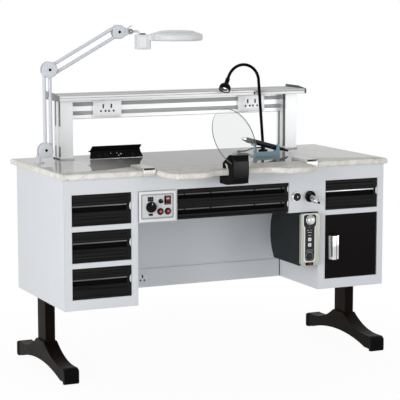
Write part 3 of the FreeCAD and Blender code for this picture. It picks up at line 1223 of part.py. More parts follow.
# Handpiece cradle: a horned front plate on a foot, with a ledge behind each horn that the motor handpiece
# lies on

CRADLE = (d.cradle_x, FRONT + d.cradle_y, TOP)
CRADLE_TURN = Rotation(Vector(0, 0, 1), d.cradle_yaw.value)
long_half = d.cradle_long / 2
deep_half = d.cradle_deep / 2


def cradle_peg(name, x, level):
    """Ledge behind a horn that carries the handpiece."""
    return slab(name, x, (-deep_half + d.cradle_plate / 2, d.peg_back), (level - d.peg_tall, level))


horn_out = long_half - d.horn_lean
horn_in = horn_out - d.horn_tip
cradle_front = extrude("cradle_front", "XZ_Plane", [
    (-long_half, 0), (long_half, 0), (horn_out, d.cradle_tall_right), (horn_in, d.cradle_tall_right),
    (long_half - d.horn_base, d.cradle_side_high), (d.horn_base - long_half, d.cradle_side_high),
    (-horn_in, d.cradle_tall_left), (-horn_out, d.cradle_tall_left),
], (-deep_half, d.cradle_plate - deep_half))
cradle_blank = fuse(
    "cradle_blank", cradle_front,
    slab("cradle_floor", (-long_half, long_half), (-deep_half, d.cradle_floor_back), (0, d.cradle_floor)),
    cradle_peg("cradle_peg_left", (-long_half + d.horn_lean, -long_half + d.horn_lean + d.peg_wide),
               d.cradle_notch_left),
    cradle_peg("cradle_peg_right", (long_half - d.horn_lean - d.peg_wide, long_half - d.horn_lean),
               d.cradle_notch_right),
)
place(cradle_blank, CRADLE, CRADLE_TURN)
GRIP_TIP = (d.cradle_x - d.grip_tip_dx, FRONT + d.grip_tip_y, TOP + d.grip_tip_rise)
GRIP_TURN = CRADLE_TURN.multiply(Rotation(Vector(0, 1, 0), 90 + d.grip_droop.value))
seat = rod("cradle_seat", d.grip_radius + d.grip_clear, GRIP_TIP, d.grip_length, GRIP_TURN)
keep(cut("handpiece_cradle", cradle_blank, seat))
keep(turned("handpiece", [
    (0, 0), (d.grip_nose * 0.5, 0), (d.grip_nose, d.grip_nose_length * 0.3),
    (d.grip_radius * 0.6, d.grip_nose_length * 0.35), (d.grip_radius * 0.75, d.grip_nose_length * 0.8),
    (d.grip_radius, d.grip_nose_length), (d.grip_radius, d.grip_body),
    (d.grip_radius * 0.75, d.grip_body + 8),
    (d.tail_radius * 1.5, d.grip_body + 14), (d.tail_radius, d.grip_length), (0, d.grip_length),
], GRIP_TIP, GRIP_TURN))


# Desk-top socket: a wedge on a flange, with a lid that leans open and folds down on the sloping face

SOCKET_X = (d.socket_left, d.socket_right)
FLANGE_FRONT = FRONT + d.socket_front
SLOPE_FOOT = FLANGE_FRONT + d.socket_rim
VALLEY = SLOPE_FOOT + d.socket_slope
SOCKET_BACK = VALLEY + d.socket_heel
FLANGE = TOP + d.socket_flange
WEDGE_TOP = FLANGE + d.socket_rise
ear_x = ((SOCKET_X[0], SOCKET_X[0] + d.socket_ear), (SOCKET_X[1] - d.socket_ear, SOCKET_X[1]))
LID_AXIS = (VALLEY + d.lid_back, WEDGE_TOP + d.lid_up)
lid_pin_length = d.socket_ear + d.lid_gap
wedge = extrude("socket_wedge", "YZ_Plane", [
    (FLANGE_FRONT, TOP), (SOCKET_BACK, TOP), (SOCKET_BACK, WEDGE_TOP), (VALLEY, WEDGE_TOP),
    (SLOPE_FOOT, FLANGE),
    (FLANGE_FRONT, FLANGE),
], SOCKET_X)
ears = [
    slab(f"socket_ear_{hand}", span, (VALLEY, SOCKET_BACK), (WEDGE_TOP, LID_AXIS[1] + d.lid_barrel))
    for hand, span in zip(("left", "right"), ear_x)
]
ear_bores = [
    rod(f"socket_bore_{hand}", d.lid_pin + d.lid_pin_clear, (span[0], *LID_AXIS), d.socket_ear, "+x")
    for hand, span in zip(("left", "right"), ear_x)
]
keep(cut("desk_socket_base", fuse("socket_blank", wedge, *ears), *ear_bores))

LID_X = (ear_x[0][1] + d.lid_gap, ear_x[1][0] - d.lid_gap)
lid_half = d.lid_thick / 2
lid_plate = extrude("lid_plate", "YZ_Plane", [
    (-d.lid_reach, -lid_half), (0, -lid_half), (0, lid_half), (-d.lid_reach, lid_half),
], LID_X)
lid_plate.Placement = FreeCAD.Placement(Vector(), Rotation(Vector(1, 0, 0), -d.lid_open.value))
bind(lid_plate, ".Placement.Base.x", LID_X[0])
bind(lid_plate, ".Placement.Base.y", LID_AXIS[0])
bind(lid_plate, ".Placement.Base.z", LID_AXIS[1])
lid_barrel = rod("lid_barrel", d.lid_barrel, (LID_X[0], *LID_AXIS), LID_X[1] - LID_X[0], "+x")
lid_pins = rod("lid_pins", d.lid_pin, (SOCKET_X[0], *LID_AXIS), SOCKET_X[1] - SOCKET_X[0], "+x")
keep(fuse("desk_socket_lid", lid_plate, lid_barrel, lid_pins))


# Recompute, check and write each sub-part

doc.recompute()
for item in doc.Objects:
    if "Invalid" in item.State or "Error" in item.State:
        raise RuntimeError(f"{item.Label} does not compute: {item.State}")
for piece in NODES:
    if piece.Shape.isNull() or not piece.Shape.isValid():
        raise RuntimeError(f"{piece.Label} has no valid shape")
os.makedirs("parts", exist_ok=True)
for piece in NODES:
    piece.Shape.exportStep(f"parts/{piece.Label}.step")
    box = piece.Shape.BoundBox
    print(f"{piece.Label}: {len(piece.Shape.Solids)} solids, x {box.XMin:.1f} {box.XMax:.1f}, "
          f"y {box.YMin:.1f} {box.YMax:.1f}, z {box.ZMin:.1f} {box.ZMax:.1f}")
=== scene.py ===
import math

import bmesh
import bpy
from mathutils import Matrix, Vector


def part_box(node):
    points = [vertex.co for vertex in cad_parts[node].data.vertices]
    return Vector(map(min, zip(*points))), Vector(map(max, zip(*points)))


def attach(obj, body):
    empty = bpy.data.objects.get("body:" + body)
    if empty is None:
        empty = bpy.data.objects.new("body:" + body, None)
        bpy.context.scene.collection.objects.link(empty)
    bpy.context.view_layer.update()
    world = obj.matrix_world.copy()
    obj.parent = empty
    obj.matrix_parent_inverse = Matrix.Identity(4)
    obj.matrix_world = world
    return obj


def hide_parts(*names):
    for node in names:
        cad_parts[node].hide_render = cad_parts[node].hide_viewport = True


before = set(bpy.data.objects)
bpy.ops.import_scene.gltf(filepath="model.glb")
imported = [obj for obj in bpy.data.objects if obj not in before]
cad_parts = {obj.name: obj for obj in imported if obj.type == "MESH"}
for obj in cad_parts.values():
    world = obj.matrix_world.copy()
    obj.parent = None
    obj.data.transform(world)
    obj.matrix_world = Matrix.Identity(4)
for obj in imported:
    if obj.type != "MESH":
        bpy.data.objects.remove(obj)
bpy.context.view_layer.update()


# Legs: two T-legs, each a box-section column welded on a splayed pressed foot.
# They are powder coated black after welding, so the skin has a fine orange peel
# and the folds are rubbed a little paler.

class Strand:
    """A shader socket. Sums on strands add Math nodes, and add() puts in any other node."""

    def __init__(self, tree, socket=None):
        self.tree = tree
        self.socket = socket

    def add(self, kind, settings=None, sockets=None, out=0):
        """A new node, with its settings made first and its sockets then set or linked."""
        node = self.tree.nodes.new(kind)
        for name, value in (settings or {}).items():
            setattr(node, name, value)
        for name, value in (sockets or {}).items():
            if isinstance(value, Strand):
                self.tree.links.new(value.socket, node.inputs[name])
            else:
                node.inputs[name].default_value = value
        return Strand(self.tree, node.outputs[out])

    def maths(self, operation, first, second):
        return self.add("ShaderNodeMath", {"operation": operation}, {0: first, 1: second})

    def __add__(self, other):
        return self.maths("ADD", self, other)

    def __radd__(self, other):
        return self.maths("ADD", other, self)

    def __sub__(self, other):
        return self.maths("SUBTRACT", self, other)

    def __rsub__(self, other):
        return self.maths("SUBTRACT", other, self)

    def __mul__(self, other):
        return self.maths("MULTIPLY", self, other)

    def __rmul__(self, other):
        return self.maths("MULTIPLY", other, self)

    def __abs__(self):
        return self.maths("ABSOLUTE", self, 0.0)

    def dot(self, other):
        """How well two directions agree, from -1 to 1."""
        return self.add("ShaderNodeVectorMath", {"operation": "DOT_PRODUCT"}, {0: self, 1: other}, "Value")

    def spread(self, low, high, new_low=0.0, new_high=1.0):
        """The value with one range laid over another and held inside it."""
        return self.add("ShaderNodeMapRange", {"clamp": True}, {
            "Value": self, "From Min": low, "From Max": high, "To Min": new_low, "To Max": new_high})

    def tint(self, first, second):
        """Colour that goes from the first to the second as the value goes from 0 to 1."""
        return self.add("ShaderNodeMix", {"data_type": "RGBA"}, {0: self, 6: first, 7: second}, out=2)


def colour(red, green, blue):
    return (red, green, blue, 1.0)


def new_finish(name, **constants):
    """A material with its even settings, its shader, and a loose strand to add nodes from."""
    finish = bpy.data.materials.new(name)
    finish.use_nodes = True
    shader = finish.node_tree.nodes["Principled BSDF"]
    for socket, value in constants.items():
        shader.inputs[socket.replace("_", " ")].default_value = value
    return finish, shader, Strand(finish.node_tree)


def feed(shader, **strands):
    for socket, strand in strands.items():
        strand.tree.links.new(strand.socket, shader.inputs[socket.replace("_", " ")])


def mottle(loose, scale, detail=3.0, stretch=(1, 1, 1)):
    """Cloudy variation over the piece, from 0 to 1. The scale counts clouds per metre."""
    place = loose.add("ShaderNodeTexCoord", out="Object")
    place = loose.add("ShaderNodeMapping", {}, {"Vector": place, "Scale": stretch})
    return loose.add("ShaderNodeTexNoise", {}, {"Vector": place, "Scale": scale, "Detail": detail})


def soften(loose, radius):
    """Normal that rounds sharp folds."""
    return loose.add("ShaderNodeBevel", {"samples": 4}, {"Radius": radius})


def fold_mask(loose, rounded):
    """Mask that is 1 on the folds that a rounded normal softens."""
    plain = loose.add("ShaderNodeNewGeometry", out="Normal")
    return (1.0 - rounded.dot(plain)).spread(0.02, 0.3)


def coated(name, main, patch, rubbed, rough, peel=1100, depth=0.00006, fold=0.0012, vary=0.04, **constants):
    """Painted or moulded skin: soft colour patches, rubbed folds and a fine relief."""
    finish, shader, loose = new_finish(name, **constants)
    rounded = soften(loose, fold)
    clouds = mottle(loose, 7.0).spread(0.3, 0.7)
    body = clouds.tint(colour(*main), colour(*patch))
    scuffs = mottle(loose, 160.0).spread(0.35, 0.65)
    worn = (fold_mask(loose, rounded) * scuffs).tint(body, colour(*rubbed))
    handled = mottle(loose, 18.0, 5.0).spread(0.3, 0.7, rough - vary, rough + vary)
    relief = loose.add("ShaderNodeBump", {}, {
        "Strength": 0.35, "Distance": depth, "Height": mottle(loose, peel, 2.0), "Normal": rounded})
    feed(shader, Base_Color=worn, Roughness=handled, Normal=relief)
    return finish


def dress(finish, *nodes):
    """Gives CAD nodes a finish in all their slots."""
    for name in nodes:
        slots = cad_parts[name].data.materials
        slots.clear()
        slots.append(finish)


leg_black = coated("leg_black", (0.0050, 0.0028, 0.0019), (0.0064, 0.0038, 0.0027), (0.024, 0.018, 0.015),
                   0.42, Specular_IOR_Level=0.03)
dress(leg_black, "legs")


# Cabinets, apron, knee panel and instrument boxes: folded sheet steel, spot welded and
# screwed together, in one light grey-white powder coat with a cool cast.

enamel = coated("enamel", (0.66, 0.68, 0.715), (0.668, 0.688, 0.722), (0.74, 0.75, 0.77), 0.38,
                peel=520, depth=0.00002, fold=0.0016, vary=0.01, Specular_IOR_Level=0.35)
dress(enamel, "left_cabinet", "right_cabinet", "front_apron", "knee_panel", "fascia_boxes")


# Drawer boxes and fan box: the same steel, folded and spot welded. They sit behind the fronts and the
# apron, so they are left in a plainer grey coat.

box_grey = coated("box_grey", (0.52, 0.53, 0.55), (0.56, 0.57, 0.59), (0.66, 0.67, 0.68), 0.4, peel=700)
SIDE_DRAWERS = ("left_upper_drawer", "left_middle_drawer", "left_lower_drawer", "right_drawer")
dress(box_grey, "suction_fan", "centre_drawer_box", *[f"{drawer}_box" for drawer in SIDE_DRAWERS])


# Stone top: one cast slab, ivory with grey and sandy veins. Its bullnosed edge is only honed and keeps
# the pale colour, and a narrow matt strip behind the edge is painted a paler sandy tone. The rest of the
# top face is polished and painted far darker than the edge, darkest along the middle, as painted shade
# and reflection.

def facing(loose, way, low, high):
    """Mask that is 1 where the surface faces a direction."""
    normal = loose.add("ShaderNodeNewGeometry", out="Normal")
    return normal.dot(way).spread(low, high)


def room_place(loose, axis):
    """How far along an axis of the room a point of the surface lies, in metres."""
    spot = loose.add("ShaderNodeNewGeometry", out="Position")
    return loose.add("ShaderNodeSeparateXYZ", {}, {"Vector": spot}, out=axis)


def stone_clouds(loose, place, scale, detail, rough, out=0):
    """Clouds in the cast stone, drawn from a place that may be warped."""
    return loose.add("ShaderNodeTexNoise", {}, {
        "Vector": place, "Scale": scale, "Detail": detail, "Roughness": rough}, out)


STRIP_FADE = 0.012
stone, stone_shader, loose = new_finish("stone", Specular_IOR_Level=0.05)
place = loose.add("ShaderNodeTexCoord", out="Object")
swirl = stone_clouds(loose, place, 3.2, 6.0, 0.6, out=1)
drift = loose.add("ShaderNodeVectorMath", {"operation": "SCALE"}, {0: swirl, "Scale": 0.55})
warped = loose.add("ShaderNodeVectorMath", {"operation": "ADD"}, {0: place, 1: drift})
sheets = stone_clouds(loose, warped, 5.5, 8.0, 0.62)
sandy = stone_clouds(loose, warped, 16.0, 6.0, 0.7)
grains = stone_clouds(loose, place, 420.0, 2.0, 0.5)
sanded = sandy.spread(0.38, 0.60)
veins = abs(sheets - 0.5).spread(0.0, 0.035, 1.0, 0.0) * sandy.spread(0.42, 0.6)
ivory = sanded.tint(colour(0.68, 0.66, 0.59), colour(0.83, 0.82, 0.79))
ivory = (grains.spread(0.62, 0.72) * 0.35).tint(ivory, colour(0.42, 0.36, 0.25))
ivory = (veins * 0.6).tint(ivory, colour(0.40, 0.36, 0.24))
# Painted shade and reflection on the polished top: far darker than the edge, darkest along the middle and
# lighter towards the ends.
across = abs(room_place(loose, "X"))
patches = sandy.spread(0.36, 0.62)
middle = patches.tint(colour(0.140, 0.138, 0.130), colour(0.17, 0.168, 0.16))
ends = patches.tint(colour(0.50, 0.498, 0.49), colour(0.57, 0.568, 0.56))
deep = across.spread(0.26, 0.50).tint(middle, ends)
deep = (veins * 0.35).tint(deep, colour(0.17, 0.16, 0.135))
slant = across.spread(0.385, 0.63, -0.11, -0.19)
rim = slant + across.spread(0.335, 0.365, 1, 0) * (slant * -1.0 - 0.18)
behind_rim = room_place(loose, "Y") - rim
worn = sanded.tint(colour(0.50, 0.48, 0.43), colour(0.62, 0.61, 0.575))
worn = (veins * 0.6).tint(worn, colour(0.16, 0.145, 0.10))
strip = behind_rim.spread(0.0, STRIP_FADE, 1, 0)
deep = strip.tint(deep, worn)
# A thin dark line is painted in just behind the pale strip.
deep = abs(behind_rim - STRIP_FADE).spread(0.004, 0.016, 0.4, 0).tint(deep, colour(0.05, 0.05, 0.047))
top = facing(loose, (0, 0, 1), 0.75, 0.97)
polish = top.spread(0, 1, 0.22, 0.05) + sandy * 0.03 + strip * 0.25
feed(stone_shader, Base_Color=top.tint(ivory, deep), Roughness=polish)
dress(stone, "worktop")


# Arm-rest sleeves: two flat sockets on the stone's front edge, folded from sheet steel and chromed.
# Each is screwed on and open at the front.

def plated(name, main, rough):
    """Bright metal with faint finger smears and rounded folds."""
    finish, shader, loose = new_finish(name, Metallic=1.0)
    rounded = soften(loose, 0.0008)
    smear = mottle(loose, 60.0, 4.0).spread(0.35, 0.75, rough, rough + 0.09)
    tone = mottle(loose, 22.0).spread(0.3, 0.7).tint(colour(*main), colour(*[0.93 * part for part in main]))
    feed(shader, Base_Color=tone, Roughness=smear, Normal=rounded)
    return finish


chrome = plated("chrome", (0.80, 0.80, 0.81), 0.07)
sleeve_steel, sleeve_shader, loose = new_finish("sleeve_steel", Metallic=0.25)
rounded = soften(loose, 0.001)
brushed = mottle(loose, 300.0, 2.0, (1, 0.05, 1))
height = room_place(loose, "Z")
# Painted light and shade on the sleeves: the front face is painted pale, darker along its bottom and near
# black over the mouth, as painted shade.
tone = height.spread(0.786, 0.792).tint(colour(0.56, 0.55, 0.51), colour(0.84, 0.83, 0.80))
tone = height.spread(0.8078, 0.8084).tint(tone, colour(0.02, 0.018, 0.017))
# The flanks of the right sleeve are painted lighter than those of the left, as painted light.
flank_light = room_place(loose, "X").spread(-0.1, 0.1).tint(colour(0.40, 0.395, 0.375), colour(0.72, 0.71, 0.68))
tone = facing(loose, (0, -1, 0), 0.5, 0.8).tint(flank_light, tone)
# Painted light and shade on the tops: the floor inside the mouth is painted near white, and the top above it
# darker.
top = height.spread(0.805, 0.807).tint(colour(0.97, 0.96, 0.93), colour(0.42, 0.415, 0.40))
tone = facing(loose, (0, 0, 1), 0.6, 0.95).tint(tone, top)
# A painted reflection: the faces turned to the right are painted golden brown.
tone = facing(loose, (1, 0, 0), 0.3, 0.9).tint(tone, colour(0.30, 0.24, 0.15))
feed(sleeve_shader, Base_Color=tone, Roughness=brushed.spread(0.3, 0.7, 0.2, 0.3), Normal=rounded)
dress(sleeve_steel, "armrest_sleeves")


# Drawer fronts: black anodised extrusions, fluted, with a finger lip over a hollow and a thin metal
# nose along the lip. Moulded plugs close the ends, and a white half-moon is let into the right one.

def drawn_metal(name, main, second, rough, along, metallic):
    """Extruded metal with fine die lines along one direction."""
    finish, shader, loose = new_finish(name, Metallic=metallic)
    rounded = soften(loose, 0.0006)
    stretch = [0.02 if axis == along else 1.0 for axis in "xyz"]
    lines = mottle(loose, 900.0, 2.0, stretch)
    clouds = mottle(loose, 9.0).spread(0.3, 0.7)
    body = (clouds * 0.5 + lines.spread(0.3, 0.7) * 0.5).tint(colour(*main), colour(*second))
    relief = loose.add("ShaderNodeBump", {}, {
        "Strength": 0.25, "Distance": 0.00005, "Height": lines, "Normal": rounded})
    feed(shader, Base_Color=body, Roughness=lines.spread(0.2, 0.8, rough - 0.06, rough + 0.08), Normal=relief)
    return finish


front_black, front_shader, loose = new_finish("front_black", Specular_IOR_Level=0.08)
rounded = soften(loose, 0.0006)
place = loose.add("ShaderNodeTexCoord", out="Object")
# Painted shade: the hollow under the lip is painted near black, and the flute bottoms partly so.
hollow = loose.add("ShaderNodeSeparateXYZ", {}, {"Vector": place}, out="Y").spread(-0.2160, -0.2125)
lines = mottle(loose, 240.0, 2.0, (0.01, 1, 1)).spread(0.38, 0.62)
tone = lines.tint(colour(0.0040, 0.0036, 0.0038), colour(0.0145, 0.0135, 0.0142))
tone = hollow.tint(tone, lines.tint(colour(0.0008, 0.0008, 0.0009), colour(0.0014, 0.0013, 0.0014)))
feed(front_shader, Base_Color=tone, Roughness=hollow.spread(0, 1, 0.40, 0.75) + lines * 0.05, Normal=rounded)
plug_black = coated("plug_black", (0.006, 0.0055, 0.0055), (0.008, 0.0075, 0.0075), (0.03, 0.03, 0.03), 0.45,
                    Specular_IOR_Level=0.1)


def rounded_line(corners, steps=4):
    """Outline in mm whose corners, given as (a, b, radius), are rounded."""
    line = []
    count = len(corners)
    for index, corner in enumerate(corners):
        radius = corner[2] if len(corner) > 2 else 0.0
        here = Vector(corner[:2])
        before = Vector(corners[index - 1][:2]) - here
        after = Vector(corners[(index + 1) % count][:2]) - here
        if radius <= 0.0:
            line.append(tuple(here))
            continue
        half = before.angle(after) / 2
        reach = min(radius / math.tan(half), 0.49 * before.length, 0.49 * after.length)
        radius = reach * math.tan(half)
        centre = here + (before.normalized() + after.normalized()).normalized() * (radius / math.sin(half))
        start = here + before.normalized() * reach - centre
        end = here + after.normalized() * reach - centre
        sweep = start.angle_signed(end)
        for step in range(steps + 1):
            turned = start.copy()
            turned.rotate(Matrix.Rotation(-sweep * step / steps, 2))
            line.append(tuple(centre + turned))
    return line


MM = 0.001


def node_box(node):
    """Lowest and highest corners of a CAD node, in mm."""
    low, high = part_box(node)
    return low / MM, high / MM


def prism(outline, across, span, rim=0.0, steps=2):
    """Solid of a closed outline drawn out between two places, all in mm, with rounded end rims."""
    shape = bmesh.new()
    order = {"x": (2, 0, 1), "y": (0, 2, 1), "z": (0, 1, 2)}[across]
    rings = [[shape.verts.new(Vector([(a, b, c)[index] for index in order]) * MM) for a, b in outline]
             for c in span]
    ends = [shape.faces.new(ring) for ring in rings]
    for index in range(len(outline)):
        shape.faces.new((rings[0][index - 1], rings[0][index], rings[1][index], rings[1][index - 1]))
    bmesh.ops.recalc_face_normals(shape, faces=shape.faces)
    if rim:
        edges = list({edge for end in ends for edge in end.edges})
        bmesh.ops.bevel(shape, geom=edges, offset=rim * MM, segments=steps, profile=0.5, affect="EDGES",
                        clamp_overlap=True)
    return shape


def make_piece(name, shape, finish, body, sharp=38.0):
    """Turns a worked shape into a piece that moves with a CAD body."""
    mesh = bpy.data.meshes.new(name)
    shape.to_mesh(mesh)
    shape.free()
    mesh.shade_smooth()
    mesh.set_sharp_from_angle(angle=math.radians(sharp))
    mesh.materials.append(finish)
    piece = bpy.data.objects.new(name, mesh)
    bpy.context.scene.collection.objects.link(piece)
    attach(piece, body)
    return piece


def joined(shapes):
    """One shape out of several separate ones."""
    whole = bmesh.new()
    for shape in shapes:
        mesh = bpy.data.meshes.new("part")
        shape.to_mesh(mesh)
        shape.free()
        whole.from_mesh(mesh)
        bpy.data.meshes.remove(mesh)
    return whole


# Depths in mm: the cabinet's front, and a drawer front's face and back behind it.
FRONT = node_box("left_cabinet")[0].y
FACE = 3.0
BACK = 18.0
FLUTE = 5.0
PLUG = 17.0


def flute(z):
    return [(FACE, z, 0.6), (FACE + 2.4, z + FLUTE / 2, 0.8), (FACE, z + FLUTE, 0.6)]


def front_section(height, hollow, lip, below, above):
    """Section of a drawer front, as (depth behind the cabinet face, height) in mm."""
    section = [(BACK, 0), (FACE, 0, 0.8)]
    for z in below:
        section += flute(z)
    section += [(FACE, hollow - 3, 3), (12, hollow + 3, 5), (14.5, lip - 6, 4), (14, lip - 1.5, 1.5),
                (1.5, lip - 0.5, 1.5), (0.2, lip + 3.5, 1.6), (FACE, lip + 9, 3)]
    for z in above:
        section += flute(z)
    return section + [(FACE, height, 0.8), (BACK, height)]


def make_drawer_front(node, body, levels, nose, height, hollow, lip, below, above, moon):
    """The bars of one drawer with their plugs, noses and half-moons."""
    low, high = node_box(node)
    left, right = low.x, high.x
    for number, base in enumerate(levels):
        line = [(FRONT + depth, base + z, *rest)
                for depth, z, *rest in front_section(height, hollow, lip, below, above)]
        bar = prism(rounded_line(line), "x", (left + 1.5, right - PLUG))
        bar = make_piece(f"{node}_bar_{number}", bar, front_black, body, 25.0)
        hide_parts(node)
        ends = []
        for face, span in ((FACE, (left, left + 1.5)), (FACE + 1.5, (right - PLUG, right))):
            line = [(FRONT + BACK, base), (FRONT + face, base, 0.8), (FRONT + face, base + height, 0.8),
                    (FRONT + BACK, base + height)]
            ends.append(prism(rounded_line(line), "x", span, 0.4))
        make_piece(f"{node}_plugs_{number}", joined(ends), plug_black, body)
        line = [(FRONT - 0.3, base + lip + 1.2, 0.9), (FRONT + 2.4, base + lip + 1.2),
                (FRONT + 2.4, base + lip + 6, 0.4), (FRONT - 0.3, base + lip + 6, 0.9)]
        strip = prism(rounded_line(line), "x", (left + 0.6, right - PLUG - 2), 0.3)
        make_piece(f"{node}_nose_{number}", strip, nose, body)
        middle = base + (hollow + lip) / 2 + 5
        bow = [math.radians(-90 + 10 * step) for step in range(19)]
        line = [(right - 0.2 - moon * 0.42 * math.cos(turn), middle + moon * math.sin(turn)) for turn in bow]
        scoop = prism(line, "y", (FRONT + 2.5, FRONT + 15), 2.4, 3)
        make_piece(f"{node}_moon_{number}", scoop, enamel, body, 50)


# The noses are one metal in painted tones: the right drawer's is painted bright as a painted highlight, the
# others darker as painted shade.
NOSE = {"bright": plated("nose_painted_highlight", (0.60, 0.60, 0.62), 0.24),
        "shaded": plated("nose_painted_shade", (0.135, 0.135, 0.135), 0.3),
        "dark": plated("nose_painted_deep_shade", (0.105, 0.104, 0.112), 0.35)}
for drawer in SIDE_DRAWERS:
    base = node_box(f"{drawer}_front")[0].z
    nose = NOSE["bright" if drawer == "right_drawer" else "shaded"]
    make_drawer_front(f"{drawer}_front", drawer, [base], nose, height=117.0, hollow=52.0, lip=70.0,
                      below=(6, 20, 34), above=(86, 100), moon=15.0)
BAR = 58.5
LIP = 36.0
base = node_box("centre_drawer_front")[0].z
levels = [base, base + BAR]
make_drawer_front("centre_drawer_front", "centre_drawer", levels, NOSE["dark"], height=BAR, hollow=22.0,
                  lip=LIP, below=(7,), above=(), moon=12.0)


# Screws of the centre drawer: four black countersunk heads along the lip of each of its two bars.
# They hold the bars to the box.

FORWARD = (0, -1, 0)


def lathe(profile, at, way, count):
    """Turned shape: (radius, height) points in mm about an axis that leaves a point."""
    shape = bmesh.new()
    turn = Vector((0, 0, 1)).rotation_difference(Vector(way)).to_matrix()
    round_trip = [2 * math.pi * step / count for step in range(count)]
    rings = []
    for radius, height in profile:
        spots = [Vector((radius * math.cos(angle), radius * math.sin(angle), height))
                 for angle in (round_trip if radius else [0.0])]
        rings.append([shape.verts.new((Vector(at) + turn @ spot) * MM) for spot in spots])
    for first, second in zip(rings, rings[1:]):
        for step in range(count):
            corners = [first[step % len(first)], first[(step + 1) % len(first)],
                       second[(step + 1) % len(second)], second[step % len(second)]]
            corners = list(dict.fromkeys(corners))
            if len(corners) > 2:
                shape.faces.new(corners)
    for ring in (rings[0], rings[-1]):
        if len(ring) > 1:
            shape.faces.new(ring)
    bmesh.ops.recalc_face_normals(shape, faces=shape.faces)
    return shape


heads = [lathe([(0, 0), (3.9, 0), (3.9, 0.7), (2.2, 1.2), (1.8, 0.5), (0, 0.5)],
               (x, FRONT - 0.3, level + LIP + 3.6), FORWARD, 20)
         for level in levels for x in (-197, -85, 104, 223)]
make_piece("centre_drawer_screws", joined(heads), plug_black, "centre_drawer")


# Cupboard door: a folded pan of sheet steel, powder coated black. It swings on two pivot pins at its
# upper and lower edge.

door_black = coated("door_black", (0.0034, 0.0026, 0.0025), (0.0042, 0.0034, 0.0032), (0.02, 0.02, 0.02),
                    0.34, peel=600, depth=0.00002, vary=0.02, Specular_IOR_Level=0.045)
dress(door_black, "cupboard_door")


# Door handle: a length of chromed bow section, screwed on from behind through the door. The pull edge
# turns back to the door, and two moulded black caps close the ends.

handle_chrome, handle_shader, loose = new_finish("handle_chrome", Metallic=1.0)
rounded = soften(loose, 0.0008)
smear = mottle(loose, 60.0, 4.0).spread(0.35, 0.75, 0.10, 0.18)
# Painted reflection: faces turned to the front right are painted near black, and faces turned straight to the
# front a duller grey.
tone = facing(loose, (0.707, -0.707, 0), 0.80, 0.95).tint(colour(0.80, 0.80, 0.80), colour(0.05, 0.05, 0.05))
tone = facing(loose, FORWARD, 0.97, 0.995).tint(tone, colour(0.62, 0.62, 0.61))
feed(handle_shader, Base_Color=tone, Roughness=smear, Normal=rounded)
low, high = node_box("door_handle")
out = [(low.x + 1.5, high.y), (low.x + 11, low.y + 1.5, 2), (low.x + 13, low.y, 2), (low.x + 26, low.y, 2),
       (low.x + 34.5, low.y + 9, 1.2), (high.x, low.y + 9, 0.6)]
back = [(high.x, low.y + 12, 0.6), (low.x + 33, low.y + 12, 1), (low.x + 24.6, low.y + 3, 2),
        (low.x + 14.4, low.y + 3, 2), (low.x + 5, high.y)]
bow = make_piece("door_handle_bow", prism(rounded_line(out + back, 5), "z", (low.z + 5, high.z - 5), 0.4),
                 handle_chrome, "door", 30)
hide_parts("door_handle")
caps = [prism(rounded_line(out + [(high.x, high.y)], 5), "z", span, 1.2)
        for span in ((low.z, low.z + 5), (high.z - 5, high.z))]
make_piece("door_handle_caps", joined(caps), plug_black, "door")


# Foot caps: four moulded black end caps with round corners, pushed over the last stretch of the feet.
# They carry the bench, so the plastic is hard, and a little duller than the paint.

cap_black = coated("cap_black", (0.0022, 0.002, 0.0021), (0.003, 0.0028, 0.0029), (0.012, 0.012, 0.012), 0.5,
                   peel=1600, depth=0.00004, fold=0.002, Specular_IOR_Level=0.04)
OVERLAP = 22
HALF_WIDE = 29.9
low, high = node_box("foot_caps")
toes = []
for x in (-668, 668):
    for end in (low.y, high.y):
        inner = end + math.copysign(OVERLAP, -end)
        line = rounded_line([(inner, 0.1), (end, 0.1, 9), (end, 55, 13), (inner, 61.8, 2)], 6)
        toes.append(prism(line, "x", (x - HALF_WIDE, x + HALF_WIDE), 6.0, 4))
toes = make_piece("foot_cap_toes", joined(toes), cap_black, "bench", 35)
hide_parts("foot_caps")


# Control panel: a moulded bezel snapped on the left instrument box, with a printed foil
# inside it. Its switches are bought-in parts that clip into holes in the foil.

def plate_line(low, high, radius, steps=5):
    """Rectangle in mm with rounded corners."""
    (left, bottom), (right, top) = low, high
    return rounded_line([(left, bottom, radius), (right, bottom, radius), (right, top, radius),
                         (left, top, radius)], steps)


def flat_plate(low, high, radius, span, rim=0.0, steps=2):
    """Upright plate in mm with rounded corners, drawn out through a span of depth."""
    return prism(plate_line(low, high, radius), "y", span, rim, steps)


def carve(shape, cutter):
    """Cuts one shape out of another."""
    things = []
    for part in (shape, cutter):
        mesh = bpy.data.meshes.new("blank")
        part.to_mesh(mesh)
        part.free()
        thing = bpy.data.objects.new("blank", mesh)
        bpy.context.scene.collection.objects.link(thing)
        things.append(thing)
    cut = things[0].modifiers.new("cut", "BOOLEAN")
    cut.operation = "DIFFERENCE"
    cut.solver = "EXACT"
    cut.object = things[1]
    done = bmesh.new()
    done.from_object(things[0], bpy.context.evaluated_depsgraph_get())
    for thing in things:
        mesh = thing.data
        bpy.data.objects.remove(thing)
        bpy.data.meshes.remove(mesh)
    return done


